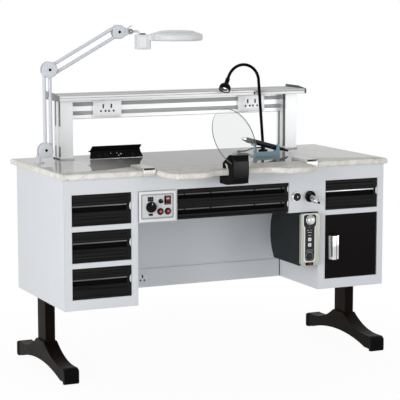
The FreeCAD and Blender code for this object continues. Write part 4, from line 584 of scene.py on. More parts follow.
bezel_white = coated("bezel_white", (0.76, 0.77, 0.80), (0.78, 0.79, 0.82), (0.88, 0.88, 0.89), 0.34,
                     peel=900)
foil_grey = coated("foil_grey", (0.59, 0.60, 0.615), (0.62, 0.63, 0.645), (0.75, 0.75, 0.75), 0.42,
                   peel=1500)
shade_mid_grey = coated("shade_mid_grey", (0.36, 0.365, 0.375), (0.40, 0.405, 0.415), (0.5, 0.5, 0.5), 0.5)
FOIL = node_box("fascia_boxes")[0].y
THROUGH = (FOIL - 9, FOIL + 9)
SLIT = (FOIL + 3.4, FOIL + 4.9)
bezel = carve(flat_plate((-388, 602), (-236, 718), 3, (FOIL - 3.2, FOIL), 1.2),
              flat_plate((-380, 612), (-244, 709), 6, THROUGH))
make_piece("panel_bezel", bezel, bezel_white, "bench")
# The grey plate that shows in the groove round the foil is painted shade.
groove = flat_plate((-380.5, 611.5), (-243.5, 709.5), 6, (FOIL - 0.5, FOIL), 0.2)
make_piece("panel_groove", groove, shade_mid_grey, "bench")
low, high = node_box("rocker_switch")
foil = carve(flat_plate((-374, 618), (-250, 703), 4, (FOIL - 1.2, FOIL - 0.4), 0.3),
             flat_plate((low.x - 1, low.z - 2.2), (high.x + 1, high.z + 2.2), 1, THROUGH))
make_piece("panel_foil", foil, foil_grey, "bench")
# Two thin grey strips in the gap along the bezel's top and left edges are painted shade.
slit = [flat_plate((-390, 719.5), (-234, 720.9), 0.3, SLIT),
        flat_plate((-390.4, 600), (-389, 720), 0.3, SLIT)]
make_piece("panel_slit", joined(slit), shade_mid_grey, "bench")


# Readout and switch label on the foil: a grey window that carries six dark tiles, a small dark field
# under the dial, and printed ticks round the dial.

window_grey = coated("window_grey", (0.10, 0.10, 0.105), (0.12, 0.12, 0.125), (0.2, 0.2, 0.2), 0.4)
tile_black = coated("tile_black", (0.008, 0.008, 0.009), (0.012, 0.012, 0.013), (0.03, 0.03, 0.03), 0.4,
                    Specular_IOR_Level=0.1)
ink_dark = coated("ink_dark", (0.012, 0.012, 0.013), (0.018, 0.018, 0.019), (0.03, 0.03, 0.03), 0.5,
                  Specular_IOR_Level=0.1)
low, high = node_box("main_dial")
DIAL = ((low.x + high.x) / 2, (low.z + high.z) / 2)
PRINT = (FOIL - 1.6, FOIL - 1.0)
window = flat_plate((-353, 680), (-329, 698), 1.5, (FOIL - 1.9, FOIL - 0.9), 0.4)
make_piece("panel_window", window, window_grey, "bench")
tiles = [flat_plate((x - 3.4, z - 3.7), (x + 3.4, z + 3.7), 0.6, (FOIL - 2.5, FOIL - 1.7), 0.3)
         for x in (-348.8, -341, -333.2) for z in (684.6, 693.4)]
make_piece("panel_tiles", joined(tiles), tile_black, "bench")
label = [flat_plate((-349, 624.5), (-331, 633.5), 1, PRINT, 0.2)]
label += [flat_plate((x - 0.7, 686), (x + 0.7, 688), 0.4, PRINT) for x in (-362, -320)]
for step in range(11):
    angle = math.radians(-150 + 30 * step)
    way = Vector((math.sin(angle), math.cos(angle)))
    side = Vector((math.cos(angle), -math.sin(angle))) * 0.5
    near, far = (Vector(DIAL) + way * reach for reach in (23.6, 26.0 if step % 5 else 27.5))
    tick = [near - side, near + side, far + side, far - side]
    label.append(prism(tick, "y", (FOIL - 1.45, FOIL - 1.0)))
make_piece("panel_marks", joined(label), ink_dark, "bench")


# Dial and small knob: moulded black knobs with fluted skirts, pushed on their shafts. A white
# line on each shows where it points.

def fluted(at, reach, deep, count, steps=8):
    """Round outline in mm with even finger flutes."""
    line = []
    for step in range(count * steps):
        angle = 2 * math.pi * step / (count * steps)
        here = reach - deep * max(0.0, math.cos(count * angle)) ** 2
        line.append((at[0] + here * math.cos(angle), at[1] + here * math.sin(angle)))
    return line


frame_black = coated("frame_black", (0.004, 0.0038, 0.004), (0.0055, 0.0052, 0.0055), (0.03, 0.03, 0.03), 0.4,
                     Specular_IOR_Level=0.1)
knob_black = coated("knob_black", (0.0015, 0.0015, 0.0016), (0.0022, 0.0022, 0.0024), (0.02, 0.02, 0.02),
                    0.34, Specular_IOR_Level=0.1)
mark_white = coated("mark_white", (0.70, 0.70, 0.70), (0.76, 0.76, 0.76), (0.8, 0.8, 0.8), 0.4)
for node, body, at, reach, tall, flutes in (("main_dial", "dial", DIAL, 21.4, 14.0, 14),
                                            ("small_knob", "knob", (-299, 679), 9.0, 10.0, 9)):
    x, z = at
    face = FOIL - tall
    skirt = lathe([(0, 0), (reach, 0), (reach, 1.6), (reach * 0.93, 2.6), (0, 2.6)], (x, FOIL - 0.9, z),
                  FORWARD, 56)
    grip = prism(fluted(at, reach * 0.86, reach * 0.07, flutes), "y", (face, FOIL - 2.5), reach * 0.09, 3)
    crown = lathe([(0, 0), (reach * 0.60, 0), (reach * 0.56, 0.7), (reach * 0.50, 0.4), (0, 0.15)],
                  (x, face + 0.2, z), FORWARD, 48)
    piece = make_piece(node + "_grip", joined([skirt, grip, crown]), knob_black, body, 32)
    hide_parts(node)
    line = flat_plate((x - reach * 0.05, z + reach * 0.42), (x + reach * 0.05, z + reach * 0.78),
                      reach * 0.04, (face - 0.45, face + 1.0), 0.1)
    make_piece(node + "_line", line, mark_white, body)
bar = [(DIAL[0] + 15 * math.cos(math.radians(turn)), DIAL[1] + 15 * math.sin(math.radians(turn)), 2.5)
       for turn in (118, 142, 298, 322)]
bar = prism(rounded_line(bar), "y", (FOIL - 18, FOIL - 13), 1.2, 3)
make_piece("main_dial_bar", bar, frame_black, "dial", 35)


# Mains rocker: a bought-in switch with a red lens that tips in a black frame. The frame is clipped
# into its hole in the foil.

low, high = node_box("rocker_switch")
middle = (low + high) / 2
dress(frame_black, "rocker_switch")
red_lens = coated("red_lens", (0.34, 0.006, 0.008), (0.42, 0.010, 0.010), (0.7, 0.10, 0.08), 0.2,
                  depth=0.00002, Specular_IOR_Level=0.35)
# Painted shade and highlight: the lens's lower half is painted dark red, and a pink strip near its top is a
# painted highlight.
shaded_red = coated("shaded_red", (0.055, 0.006, 0.006), (0.07, 0.008, 0.007), (0.15, 0.02, 0.02), 0.3,
                  depth=0.00002, Specular_IOR_Level=0.2)
glint_pink = coated("glint_pink", (0.74, 0.36, 0.36), (0.80, 0.44, 0.44), (0.9, 0.6, 0.6), 0.25)
for name, bottom, top, finish in (("rocker_lens", middle.z - 0.5, high.z - 2.6, red_lens),
                                  ("rocker_lower", low.z + 2.6, middle.z - 0.5, shaded_red)):
    lens = flat_plate((low.x + 3.2, bottom), (high.x - 3.2, top), 1.0, (low.y - 0.7, low.y + 1.5), 0.5)
    make_piece(name, lens, finish, "rocker")
glint = flat_plate((low.x + 4.2, high.z - 9), (high.x - 4.2, high.z - 4), 1.2, (low.y - 1.0, low.y), 0.3)
make_piece("rocker_glint", glint, glint_pink, "rocker")
clip = carve(flat_plate((middle.x - 13.4, middle.z - 17.4), (middle.x + 13.4, middle.z + 17.4), 2,
                        (FOIL - 3.2, FOIL), 0.8),
             flat_plate((low.x - 0.6, low.z - 2.0), (high.x + 0.6, high.z + 2.0), 0.8, THROUGH))
make_piece("rocker_clip", clip, frame_black, "bench")


# Push buttons: two small red lenses in dark domed caps. Each is held in the foil by a black threaded
# rim.

cap_maroon = coated("cap_maroon", (0.030, 0.003, 0.003), (0.045, 0.004, 0.004), (0.10, 0.01, 0.01), 0.25,
                    depth=0.00002, Specular_IOR_Level=0.2)
lens_red = coated("lens_red", (0.60, 0.030, 0.026), (0.70, 0.06, 0.045), (0.8, 0.2, 0.18), 0.2, depth=0.00002)
for node, body in (("left_button", "left_push"), ("right_button", "right_push")):
    low, high = node_box(node)
    at = (low + high) / 2
    wide = (high.x - low.x) / 2
    proud = FOIL - low.y
    seat = (at.x, FOIL, at.z)
    button = lathe([(0, -4), (wide, -4), (wide, proud - 1.6), (wide - 0.5, proud - 0.6), (wide - 1.6, proud),
                    (wide * 0.6, proud - 0.2), (0, proud - 0.7)], seat, FORWARD, 44)
    piece = make_piece(node + "_cap", button, cap_maroon, body, 40)
    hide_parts(node)
    lens = lathe([(0, -1.5), (5.0, -1.5), (5.0, 0), (3.8, 0.5), (0, 0.7)], (at.x, low.y, at.z), FORWARD, 32)
    make_piece(node + "_lens", lens, lens_red, body, 40)
    rim = lathe([(wide + 0.4, 0), (wide + 3.0, 0), (wide + 3.0, 1.5), (wide + 2.4, 2.8), (wide + 1.0, 3.0),
                 (wide + 0.4, 2.2), (wide + 0.4, 0)], seat, FORWARD, 44)
    make_piece(node + "_rim", rim, frame_black, "bench", 40)


# Air fittings: a quick coupling with a chromed body, a black release ring and a bright valve pin in a
# black stem, and a chromed blow gun that hangs in a moulded holder with a bright rim.

holder_black = coated("holder_black", (0.007, 0.007, 0.0075), (0.010, 0.010, 0.0105), (0.06, 0.06, 0.06),
                      0.36, Specular_IOR_Level=0.2)
dress(holder_black, "gun_holder")
low, high = node_box("gun_holder")
LEVEL = (low.z + high.z) / 2
GUN_X = high.x - 23
COUPLING_X = GUN_X - 57
at = (COUPLING_X, FRONT, LEVEL)
body = lathe([(0, 0), (22, 0), (22, 4), (21, 6.5), (19, 8.6), (17.6, 8.6), (17.2, 6), (0, 6)], at,
             FORWARD, 48)
stem = lathe([(0, 6), (6.8, 6), (6.8, 12.4), (5.8, 14), (5.4, 14), (5.1, 11.6), (0, 11.6)], at, FORWARD, 32)
ring = lathe([(7.2, 6), (16.4, 6), (16.4, 9.4), (15.2, 10.8), (8.4, 10.8), (7.2, 9.6), (7.2, 6)], at,
             FORWARD, 44)
pin = flat_plate((COUPLING_X - 1.8, LEVEL - 3.6), (COUPLING_X + 1.8, LEVEL + 3.6), 1.0,
                 (FRONT - 13, FRONT - 11.4), 0.4)
rim = lathe([(22.6, 0), (24.8, 0), (24.8, 8), (24.0, 9.6), (23.1, 9.6), (22.6, 0)], (GUN_X, FRONT, LEVEL),
            FORWARD, 48)
piece = make_piece("fitting_chrome", joined([body, rim, pin]), chrome, "bench", 40)
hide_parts("air_fittings")
gun_at = (GUN_X, FRONT - 8, LEVEL)
gun_way = (0.3124, -0.8584, -0.4067)
gun = lathe([(0, 0), (8.5, 0), (8.5, 4), (12.3, 9), (12.5, 10), (12.5, 28), (11.7, 28.8), (11.7, 30.6),
             (12.5, 31.4), (12.5, 36), (11, 40), (7, 43.4), (6.2, 45), (5.6, 50), (0, 50)],
            gun_at, gun_way, 40)
make_piece("blow_gun", gun, plated("gun_chrome", (0.55, 0.55, 0.56), 0.10), "bench", 40)
nozzle = lathe([(0, 49.6), (5.0, 49.6), (4.6, 52), (3.4, 57), (2.6, 58), (0, 58)], gun_at, gun_way, 28)
make_piece("fitting_black", joined([ring, stem, nozzle]), holder_black, "bench", 40)


# Motor control unit: two dark moulded shell halves behind a champagne-silver front, hooked on the
# right cabinet's side. The front has a sunk dark keypad with a pale bead round it.

unit_grey = coated("unit_grey", (0.0145, 0.0172, 0.0188), (0.0168, 0.0198, 0.0213), (0.05, 0.053, 0.055),
                   0.44, peel=800, fold=0.004, Specular_IOR_Level=0.1)
dress(unit_grey, "unit_shell")
champagne, champagne_shader, loose = new_finish("champagne", Metallic=0.35, Coat_Weight=0.3,
                                                Coat_Roughness=0.15)
rounded = soften(loose, 0.002)
flakes = mottle(loose, 2600.0, 1.0).spread(0.4, 0.6)
blend = mottle(loose, 12.0).spread(0.3, 0.7) * 0.5 + flakes * 0.5
tone = blend.tint(colour(0.40, 0.41, 0.36), colour(0.48, 0.49, 0.435))
tone = fold_mask(loose, rounded).tint(tone, colour(0.48, 0.49, 0.44))
feed(champagne_shader, Base_Color=tone, Roughness=flakes.spread(0.0, 1.0, 0.30, 0.42), Normal=rounded)
low, high = node_box("unit_front")
middle = 341.0
PAD = low.y + 1.3


def keypad_line(grow):
    """Keyhole outline of the sunk keypad: wide round the speed knob and narrower below it."""
    wide, slim = 28.0 + grow, 21.5 + grow
    return rounded_line([
        (middle - slim, 402 - grow, 14), (middle + slim, 402 - grow, 14), (middle + slim, 540, 5),
        (middle + wide, 548, 5), (middle + wide, 590 + grow, 9), (middle - wide, 590 + grow, 9),
        (middle - wide, 548, 5), (middle - slim, 540, 5)], 5)


outline = rounded_line([(low.x, low.z, 17), (high.x, low.z, 17), (high.x, high.z, 9), (low.x, high.z, 9)], 7)
front = carve(prism(outline, "y", (low.y, high.y), 4.0, 4),
              prism(keypad_line(0), "y", (low.y - 5, low.y + 2)))
piece = make_piece("unit_face", front, champagne, "bench", 34)
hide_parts("unit_front")
bead = carve(prism(keypad_line(4.0), "y", (low.y - 0.9, low.y + 0.5), 0.6),
             prism(keypad_line(0.2), "y", (low.y - 5, low.y + 5)))
pale_bead = coated("pale_bead", (0.80, 0.82, 0.76), (0.84, 0.86, 0.80), (0.9, 0.9, 0.88), 0.35)
make_piece("unit_bead", bead, pale_bead, "bench")
pad_dark = coated("pad_dark", (0.009, 0.012, 0.0135), (0.012, 0.015, 0.0165), (0.04, 0.04, 0.04), 0.3,
                  depth=0.00002, Specular_IOR_Level=0.2)
keypad = prism(keypad_line(-0.4), "y", (PAD, low.y + 2.2))
make_piece("unit_keypad", keypad, pad_dark, "bench")
collar = prism(outline, "y", (high.y - 0.4, high.y + 7), 1.5)
make_piece("unit_collar", collar, holder_black, "bench")


# Speed knob: a pearl-silver moulded dome with a fluted skirt. It turns on the keypad's shaft, and a dark
# nick shows where it points.

pearl = coated("pearl", (0.60, 0.60, 0.60), (0.66, 0.66, 0.66), (0.8, 0.8, 0.8), 0.27, depth=0.00001,
               Metallic=0.55, Coat_Weight=0.5, Coat_Roughness=0.08)
node_low, node_high = node_box("unit_speed_knob")
at = (node_low + node_high) / 2
reach = (node_high.x - node_low.x) / 2
tall = 24.0
skirt = prism(fluted((at.x, at.z), reach, 0.9, 24, 6), "y", (low.y - 6, low.y - 0.2), 0.8)
dome = lathe([(0, 5.5), (reach * 0.93, 5.5), (reach * 0.92, 9), (reach * 0.86, 14), (reach * 0.72, 19),
              (reach * 0.46, tall - 1.8), (reach * 0.2, tall - 1.1), (0, tall - 1)],
             (at.x, low.y + 1, at.z), FORWARD, 48)
piece = make_piece("speed_knob_dome", joined([skirt, dome]), pearl, "speed_knob", 40)
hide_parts("unit_speed_knob")
nick = flat_plate((at.x - 0.8, at.z + reach * 0.45), (at.x + 0.8, at.z + reach * 0.78), 0.7,
                  (low.y - tall + 3.2, low.y - 14))
make_piece("speed_knob_nick", nick, ink_dark, "speed_knob")


# Keys, lower dial and marks of the keypad: white rubber keys with dark signs, a fixed dial with a pale
# ring, three small lamp lenses and printed bars.

key_white = coated("key_white", (0.74, 0.75, 0.76), (0.78, 0.79, 0.80), (0.85, 0.85, 0.85), 0.4)
for node, body in (("unit_upper_key", "upper_key"), ("unit_lower_key", "lower_key")):
    node_low, node_high = node_box(node)
    key = flat_plate((node_low.x, node_low.z), (node_high.x, node_high.z), 2.6, (node_low.y, node_high.y),
                     1.1, 3)
    piece = make_piece(node + "_cap", key, key_white, body, 40)
    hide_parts(node)
    x, z = ((node_low + node_high) / 2).xz
    ink = (node_low.y - 0.25, node_low.y + 0.5)
    if body == "upper_key":
        sign = [flat_plate((x - 2.6, z + up - 0.6), (x + 2.6, z + up + 0.6), 0.3, ink) for up in (-1.6, 1.6)]
    else:
        sign = [prism([(x - 2.4, z - 2.6), (x + 2.8, z), (x - 2.4, z + 2.6)], "y", ink)]
    make_piece(node + "_sign", joined(sign), ink_dark, body)
LOWER_DIAL = 421
INK = (PAD - 0.3, PAD + 0.2)
mark_grey = coated("mark_grey", (0.30, 0.32, 0.33), (0.36, 0.38, 0.39), (0.5, 0.5, 0.5), 0.4)
ring = lathe([(15.6, 0), (17.2, 0), (17.2, 0.7), (15.6, 0.7), (15.6, 0)], (middle, PAD, LOWER_DIAL),
             FORWARD, 44)
bars = [flat_plate((middle - 15, z - 0.7), (middle + 15, z + 0.7), 0.5, INK) for z in (447, 441)]
make_piece("keypad_ring", joined([ring] + bars), mark_grey, "bench")
knob = prism(fluted((middle, LOWER_DIAL), 13.0, 0.9, 16, 6), "y", (PAD - 5, PAD), 1.0)
pointer = flat_plate((middle - 1.2, 423), (middle + 1.2, 432), 0.8, (PAD - 5.5, PAD - 4))
make_piece("keypad_dial", joined([knob, pointer]), pad_dark, "bench")
for name, x, z, tint in (("red", middle - 1, 539, (0.62, 0.05, 0.02)),
                         ("ruby", middle + 3, 527, (0.60, 0.01, 0.04)),
                         ("blue", middle + 9, 527, (0.05, 0.10, 0.50))):
    lens = lathe([(0, 0), (2.3, 0), (2.3, 0.6), (1.5, 1.3), (0, 1.6)], (x, PAD, z), FORWARD, 24)
    finish = coated(f"lamp_{name}", tint, tint, tint, 0.2)
    make_piece(f"keypad_lamp_{name}", lens, finish, "bench")
bars = [flat_plate((middle + x - wide, z - 0.8), (middle + x + wide, z + 0.8), 0.5, INK)
        for x, z, wide in ((0, 518, 9), (-8, 527, 4), (0, 506, 6))]
make_piece("keypad_bars", joined(bars), mark_white, "bench")


# Readout of the unit: a smoked window set in the front under the keypad. Two red digits are lit in
# it, each of plain strokes.

def lit_finish(name, strength, clouds, skin, light):
    """Skin that gives a little uneven light of its own, with two colours for each."""
    finish, shader, loose = new_finish(name, Emission_Strength=strength, Roughness=0.3)
    beat = mottle(loose, clouds).spread(0.3, 0.7)
    feed(shader, Base_Color=beat.tint(*[colour(*part) for part in skin]),
         Emission_Color=beat.tint(*[colour(*part) for part in light]))
    return finish


window_black = coated("window_black", (0.003, 0.003, 0.0035), (0.005, 0.005, 0.0055), (0.02, 0.02, 0.02), 0.2,
                      depth=0.00001, Specular_IOR_Level=0.12)
glow = lit_finish("digit_glow", 0.45, 900.0, ((0.5, 0.01, 0.01), (0.6, 0.02, 0.015)),
                  ((0.75, 0.012, 0.016), (0.9, 0.03, 0.03)))
readout = flat_plate((middle - 19, 385), (middle + 17, 398), 5, (low.y - 0.9, low.y + 1), 0.5)
make_piece("unit_readout", readout, window_black, "bench")
DIGITS = 391.5
STROKES = {"a": (0, 3.6, 2.2, 0.55), "b": (2.2, 1.8, 0.55, 1.6), "c": (2.2, -1.8, 0.55, 1.6),
           "d": (0, -3.6, 2.2, 0.55), "e": (-2.2, -1.8, 0.55, 1.6), "f": (-2.2, 1.8, 0.55, 1.6)}
strokes = []
for start, lit in ((middle - 9, "bc"), (middle + 4, "abcdef")):
    for name in lit:
        aside, up, wide, tall = STROKES[name]
        x, z = start + aside, DIGITS + up
        strokes.append(flat_plate((x - wide, z - tall), (x + wide, z + tall), 0.3,
                                  (low.y - 1.15, low.y - 0.7)))
make_piece("unit_digits", joined(strokes), glow, "bench")


# Suction hood: a moulded black mouth that grips the stone's edge in the bay. Its bowed front is a
# separate cover, and a pale rubber pad lines the jaw on the side that is seen.

hood_black = coated("hood_black", (0.0022, 0.002, 0.0021), (0.003, 0.0028, 0.0029), (0.02, 0.02, 0.02), 0.4,
                    peel=900, depth=0.00003, fold=0.003, vary=0.02, Specular_IOR_Level=0.045)
dress(hood_black, "suction_mouth")
cover_black, cover_shader, loose = new_finish("cover_black", Specular_IOR_Level=0.12)
height = room_place(loose, "Z")
# Painted sheen: the cover's front is painted lighter in a band across its middle, darker towards its top and
# bottom.
painted_sheen = height.spread(0.765, 0.825) * height.spread(0.825, 0.853, 1, 0.2)
tone = painted_sheen.tint(colour(0.0015, 0.0014, 0.0014), colour(0.032, 0.031, 0.032))
polish = mottle(loose, 18.0, 5.0).spread(0.3, 0.7, 0.32, 0.38)
feed(cover_shader, Base_Color=tone, Roughness=polish, Normal=soften(loose, 0.003))
MIDDLE = 801
HALF_TALL = 50
COVER_FRONT, COVER_BACK = -371, -350
BOW = 7
swell = [(COVER_FRONT + BOW * (rise / HALF_TALL) ** 2, MIDDLE + rise)
         for rise in range(-HALF_TALL, HALF_TALL + 1, 5)]
cover = [(COVER_BACK, MIDDLE - HALF_TALL)] + swell + [(COVER_BACK, MIDDLE + HALF_TALL)]
make_piece("hood_cover", prism(cover, "x", (-56.5, 6.5), 1.4, 3), cover_black, "bench", 30)
arc = [math.radians(-84 + 12 * step) for step in range(15)]
JAW = 800
crescent = [(-298 - 20 * math.cos(turn), JAW + 20 * math.sin(turn)) for turn in arc]
crescent += [(-289 - 17 * math.cos(turn), JAW + 17 * math.sin(turn)) for turn in reversed(arc)]
pad_ivory = coated("pad_ivory", (0.55, 0.50, 0.36), (0.66, 0.62, 0.50), (0.7, 0.68, 0.6), 0.4, peel=300,
                   depth=0.0004)
make_piece("hood_pad", prism(crescent, "x", (-59.4, -52), 0.8), pad_ivory, "bench")


# Splash shield: a disc of plate glass that stands in the hood's slot. Its edge is ground and shows
# green, and its faces are polished.

def bare_finish(name):
    """A material with no shader yet, and a loose strand to add nodes from."""
    finish = bpy.data.materials.new(name)
    finish.use_nodes = True
    finish.node_tree.nodes.clear()
    return finish, Strand(finish.node_tree)


def close_tree(whole, kind="ShaderNodeOutputMaterial"):
    """Ends a tree of nodes in its output."""
    output = whole.tree.nodes.new(kind)
    whole.tree.links.new(whole.socket, output.inputs["Surface"])


def clear_pane(loose, tint, rough, ior, share):
    """Clear glass that lets light through and mirrors a share of it, more at a slant."""
    clear = loose.add("ShaderNodeBsdfTransparent", {}, {"Color": colour(*tint)})
    shine = loose.add("ShaderNodeBsdfGlossy", {}, {"Color": colour(1, 1, 1), "Roughness": rough})
    bounce = loose.add("ShaderNodeFresnel", {}, {"IOR": ior})
    return loose.add("ShaderNodeMixShader", {}, {0: bounce * share, 1: clear, 2: shine})


sheet_glass, loose = bare_finish("sheet_glass")
lean, yaw = math.radians(23.7), math.radians(25)
axis = (math.sin(yaw) * math.cos(lean), -math.cos(yaw) * math.cos(lean), math.sin(lean))
edge = abs(loose.add("ShaderNodeNewGeometry", out="Normal").dot(axis)).spread(0.55, 0.85, 1.0, 0.0)
smudge = mottle(loose, 14.0, 4.0).spread(0.35, 0.75, 0.10, 0.18)
pane = clear_pane(loose, (0.935, 0.942, 0.94), 0.03, 1.3, smudge)
green = mottle(loose, 80.0).spread(0.3, 0.7).tint(colour(0.07, 0.115, 0.10), colour(0.13, 0.18, 0.16))
ground = loose.add("ShaderNodeBsdfPrincipled", {}, {"Base Color": green, "Roughness": 0.22})
close_tree(loose.add("ShaderNodeMixShader", {}, {0: edge, 1: pane, 2: ground}))
dress(sheet_glass, "glass_shield")


# Rear frame: two grooved posts, a grooved cross rail and a shelf, all drawn in aluminium, sawn to
# length and satin anodised. They are bolted together through their grooves, and grey cover strips
# are pressed into the rail's open grooves. The posts' open grooves hold near-black strips as painted shade.

post_silver = drawn_metal("post_silver", (0.78, 0.79, 0.80), (0.82, 0.83, 0.84), 0.42, "z", metallic=0.5)
rail_silver = drawn_metal("rail_silver", (0.885, 0.89, 0.895), (0.905, 0.91, 0.915), 0.42, "x", metallic=0.7)
shelf_silver = drawn_metal("shelf_silver", (0.50, 0.505, 0.51), (0.56, 0.565, 0.57), 0.40, "x", metallic=0.1)
dress(post_silver, "posts")
dress(rail_silver, "cross_rail")
dress(shelf_silver, "top_shelf")
# Painted shade on the frame caps: the lower caps' faces turned to the left are painted near black, and the
# upper caps on the right much darker than those on the left.
cap_grey, cap_shader, loose = new_finish("cap_grey", Roughness=0.45, Specular_IOR_Level=0.2)
rounded = soften(loose, 0.001)
moulded = mottle(loose, 40.0).spread(0.3, 0.7)
foot = moulded.tint(colour(0.55, 0.55, 0.55), colour(0.62, 0.62, 0.62))
foot = facing(loose, (-1, 0, 0), 0.5, 0.9).tint(foot, colour(0.03, 0.03, 0.03))
inner = moulded.tint(colour(0.085, 0.087, 0.09), colour(0.11, 0.112, 0.115))
left_caps_lit = moulded.tint(colour(0.24, 0.243, 0.247), colour(0.30, 0.303, 0.307))
cap = room_place(loose, "X").spread(-0.1, 0.1).tint(left_caps_lit, inner)
tone = room_place(loose, "Z").spread(0.82, 0.83).tint(foot, cap)
feed(cap_shader, Base_Color=tone, Normal=rounded)
dress(cap_grey, "frame_caps")
strip_mid = drawn_metal("strip_mid", (0.42, 0.425, 0.43), (0.47, 0.475, 0.48), 0.42, "x", metallic=0.1)
POST_OUT = node_box("posts")[1].x
POST_TOP = node_box("posts")[1].z - 2
POST_IN = node_box("cross_rail")[1].x
RAIL_FRONT, RAIL_BOTTOM = node_box("cross_rail")[0].yz
strips = []
for level in (RAIL_BOTTOM + 16, RAIL_BOTTOM + 52):
    front, rear = RAIL_FRONT + 3.5, RAIL_FRONT + 7
    line = [(front, level + 0.3, 0.6), (rear, level + 0.3), (rear, level + 15.7), (front, level + 15.7, 0.6)]
    strips.append(prism(rounded_line(line), "x", (0.5 - POST_IN, POST_IN - 0.5)))
make_piece("rail_strips", joined(strips), strip_mid, "bench")
# The near-black strips in the posts' open grooves are painted shade.
groove_shade_grey = coated("groove_shade_grey", (0.085, 0.088, 0.09), (0.11, 0.113, 0.115), (0.2, 0.2, 0.2), 0.4)
strips = []
INNER = ((812, POST_TOP),)
OUTER = ((934, POST_TOP), (811, 853))
for face, inside, spans in ((-POST_OUT, 1, OUTER), (POST_IN, 1, INNER), (-POST_IN, -1, INNER),
                            (POST_OUT, -1, OUTER)):
    left, right = sorted((face - 0.6 * inside, face + 3 * inside))
    for front, rear in ((243.5, 262), (293, 306)):
        line = plate_line((left, front), (right, rear), 0.5, 2)
        strips += [prism(line, "z", span, 0.4) for span in spans]
make_piece("post_strips", joined(strips), groove_shade_grey, "bench")
screw_steel = plated("screw_steel", (0.42, 0.42, 0.43), 0.25)
heads = [lathe([(0, 0), (3.2, 0), (3.2, 0.8), (2.2, 1.4), (1.6, 0.8), (0, 0.8)], (face, 251, level),
               (way, 0, 0), 20)
         for face, way in ((-POST_OUT - 0.6, -1), (POST_IN - 0.6, -1), (POST_OUT + 0.6, 1),
                           (0.6 - POST_IN, 1))
         for level in (965, 1026)]
make_piece("post_screws", joined(heads), screw_steel, "bench")


# Edge strip of the shelf: a pale clip-on moulding along the front edge, closed by a dark round stop.
# A dark line across the strip's face and a thin grey line along the rail's lower edge are painted shade,
# and two shallow grooves run along the top.

SHELF_END = node_box("top_shelf")[1].x - 2
SHELF_FRONT, SHELF_BOTTOM = node_box("top_shelf")[0].yz
STRIP = SHELF_BOTTOM + 0.4
STRIP_TOP = SHELF_BOTTOM + 19
GROOVE = SHELF_BOTTOM + 10.9
STOP_X = 312
strip_grey = drawn_metal("strip_grey", (0.80, 0.81, 0.82), (0.83, 0.84, 0.85), 0.42, "x", metallic=0.3)
strip = rounded_line([(-SHELF_END, STRIP, 1), (STOP_X - 1, STRIP, 1), (STOP_X - 1, STRIP_TOP, 11),
                      (-SHELF_END, STRIP_TOP, 1)], 7)
strip = prism(strip, "y", (SHELF_FRONT - 1.6, SHELF_FRONT + 0.2), 0.6)
# A thin grey line along the rail's lower edge is painted shade.
edge = flat_plate((1 - POST_IN, RAIL_BOTTOM + 0.2), (POST_IN - 1, RAIL_BOTTOM + 2), 0.3,
                  (RAIL_FRONT - 0.6, RAIL_FRONT + 0.2))
make_piece("rail_edge", edge, shade_mid_grey, "bench")
make_piece("shelf_strip", strip, strip_grey, "bench")
rest = flat_plate((STOP_X + 1, STRIP), (SHELF_END, SHELF_BOTTOM + 10.6), 0.5,
                  (SHELF_FRONT - 1, SHELF_FRONT + 0.2), 0.3)
make_piece("shelf_strip_end", rest, strip_grey, "bench")
# The dark line across the strip's face is painted shade; the two lines on the top are shallow grooves.
lines = [rounded_line([(SHELF_FRONT - 2.1, GROOVE, 0.3), (SHELF_FRONT + 0.4, GROOVE),
                       (SHELF_FRONT + 0.4, GROOVE + 2), (SHELF_FRONT - 2.1, GROOVE + 2, 0.3)])]
lines += [plate_line((front, STRIP_TOP + 0.4), (front + wide, STRIP_TOP + 1.3), 0.3)
          for front, wide in ((214, 22), (300, 30))]
grooves = joined([prism(line, "x", (-SHELF_END, SHELF_END)) for line in lines])
shadow_grey = coated("shadow_grey", (0.30, 0.305, 0.31), (0.34, 0.345, 0.35), (0.4, 0.4, 0.4), 0.45)
make_piece("shelf_grooves", grooves, shadow_grey, "bench")
stop = lathe([(0, 0), (4.6, 0), (4.6, 1.6), (3.4, 2.6), (0, 3)],
             (STOP_X, SHELF_FRONT + 0.2, SHELF_BOTTOM + 7.5), FORWARD, 24)
make_piece("shelf_strip_stop", stop, cap_black, "bench")


# Outlet plates: two double three-pin outlets of white plastic, screwed over the rail. The pin slots
# are moulded through, with a near-black plate behind them that paints the shade inside the slots.

outlet_white = coated("outlet_white", (0.88, 0.885, 0.905), (0.90, 0.905, 0.92), (0.92, 0.92, 0.93), 0.4,
                      depth=0.00002, Metallic=0.3)


def pin_slots(x, z, size, span):
    """The three slots of one outlet: an upright one over two short slanted ones."""
    slots = [flat_plate((x - 3.2 * size, z + 0.5 * size), (x + 3.2 * size, z + 15.5 * size), 1.5, span)]
    for hand in (-1, 1):
        slant = [(x + hand * 7.4 * size, z - 14 * size), (x + hand * 13.6 * size, z - 10 * size),
                 (x + hand * 10.2 * size, z - 4.2 * size), (x + hand * 4.0 * size, z - 8.2 * size)]
        slots.append(prism(slant, "y", span))
    return slots


PLATE = 124
low, high = node_box("socket_plates")
level = (low.z + high.z) / 2
for hand, left, right in (("left", low.x, low.x + PLATE), ("right", high.x - PLATE, high.x)):
    middle = (left + right) / 2
    slots = []
    for x in (middle - 17.5, middle + 17.5):
        slots += pin_slots(x, level, 1.15, (low.y - 5, high.y + 5))
    plate = carve(flat_plate((left, low.z), (right, high.z), 3, (low.y, high.y), 1.6, 3), joined(slots))
    piece = make_piece(f"outlet_plate_{hand}", plate, outlet_white, "bench", 40)
    if hand == "left":
        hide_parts("socket_plates")
    # A near-black plate behind the slots paints the shade inside them.
    back = flat_plate((middle - 36, level - 20), (middle + 36, level + 20), 2, (high.y - 4.2, high.y - 0.4))
    make_piece(f"outlet_slot_shade_{hand}", back, window_black, "bench")


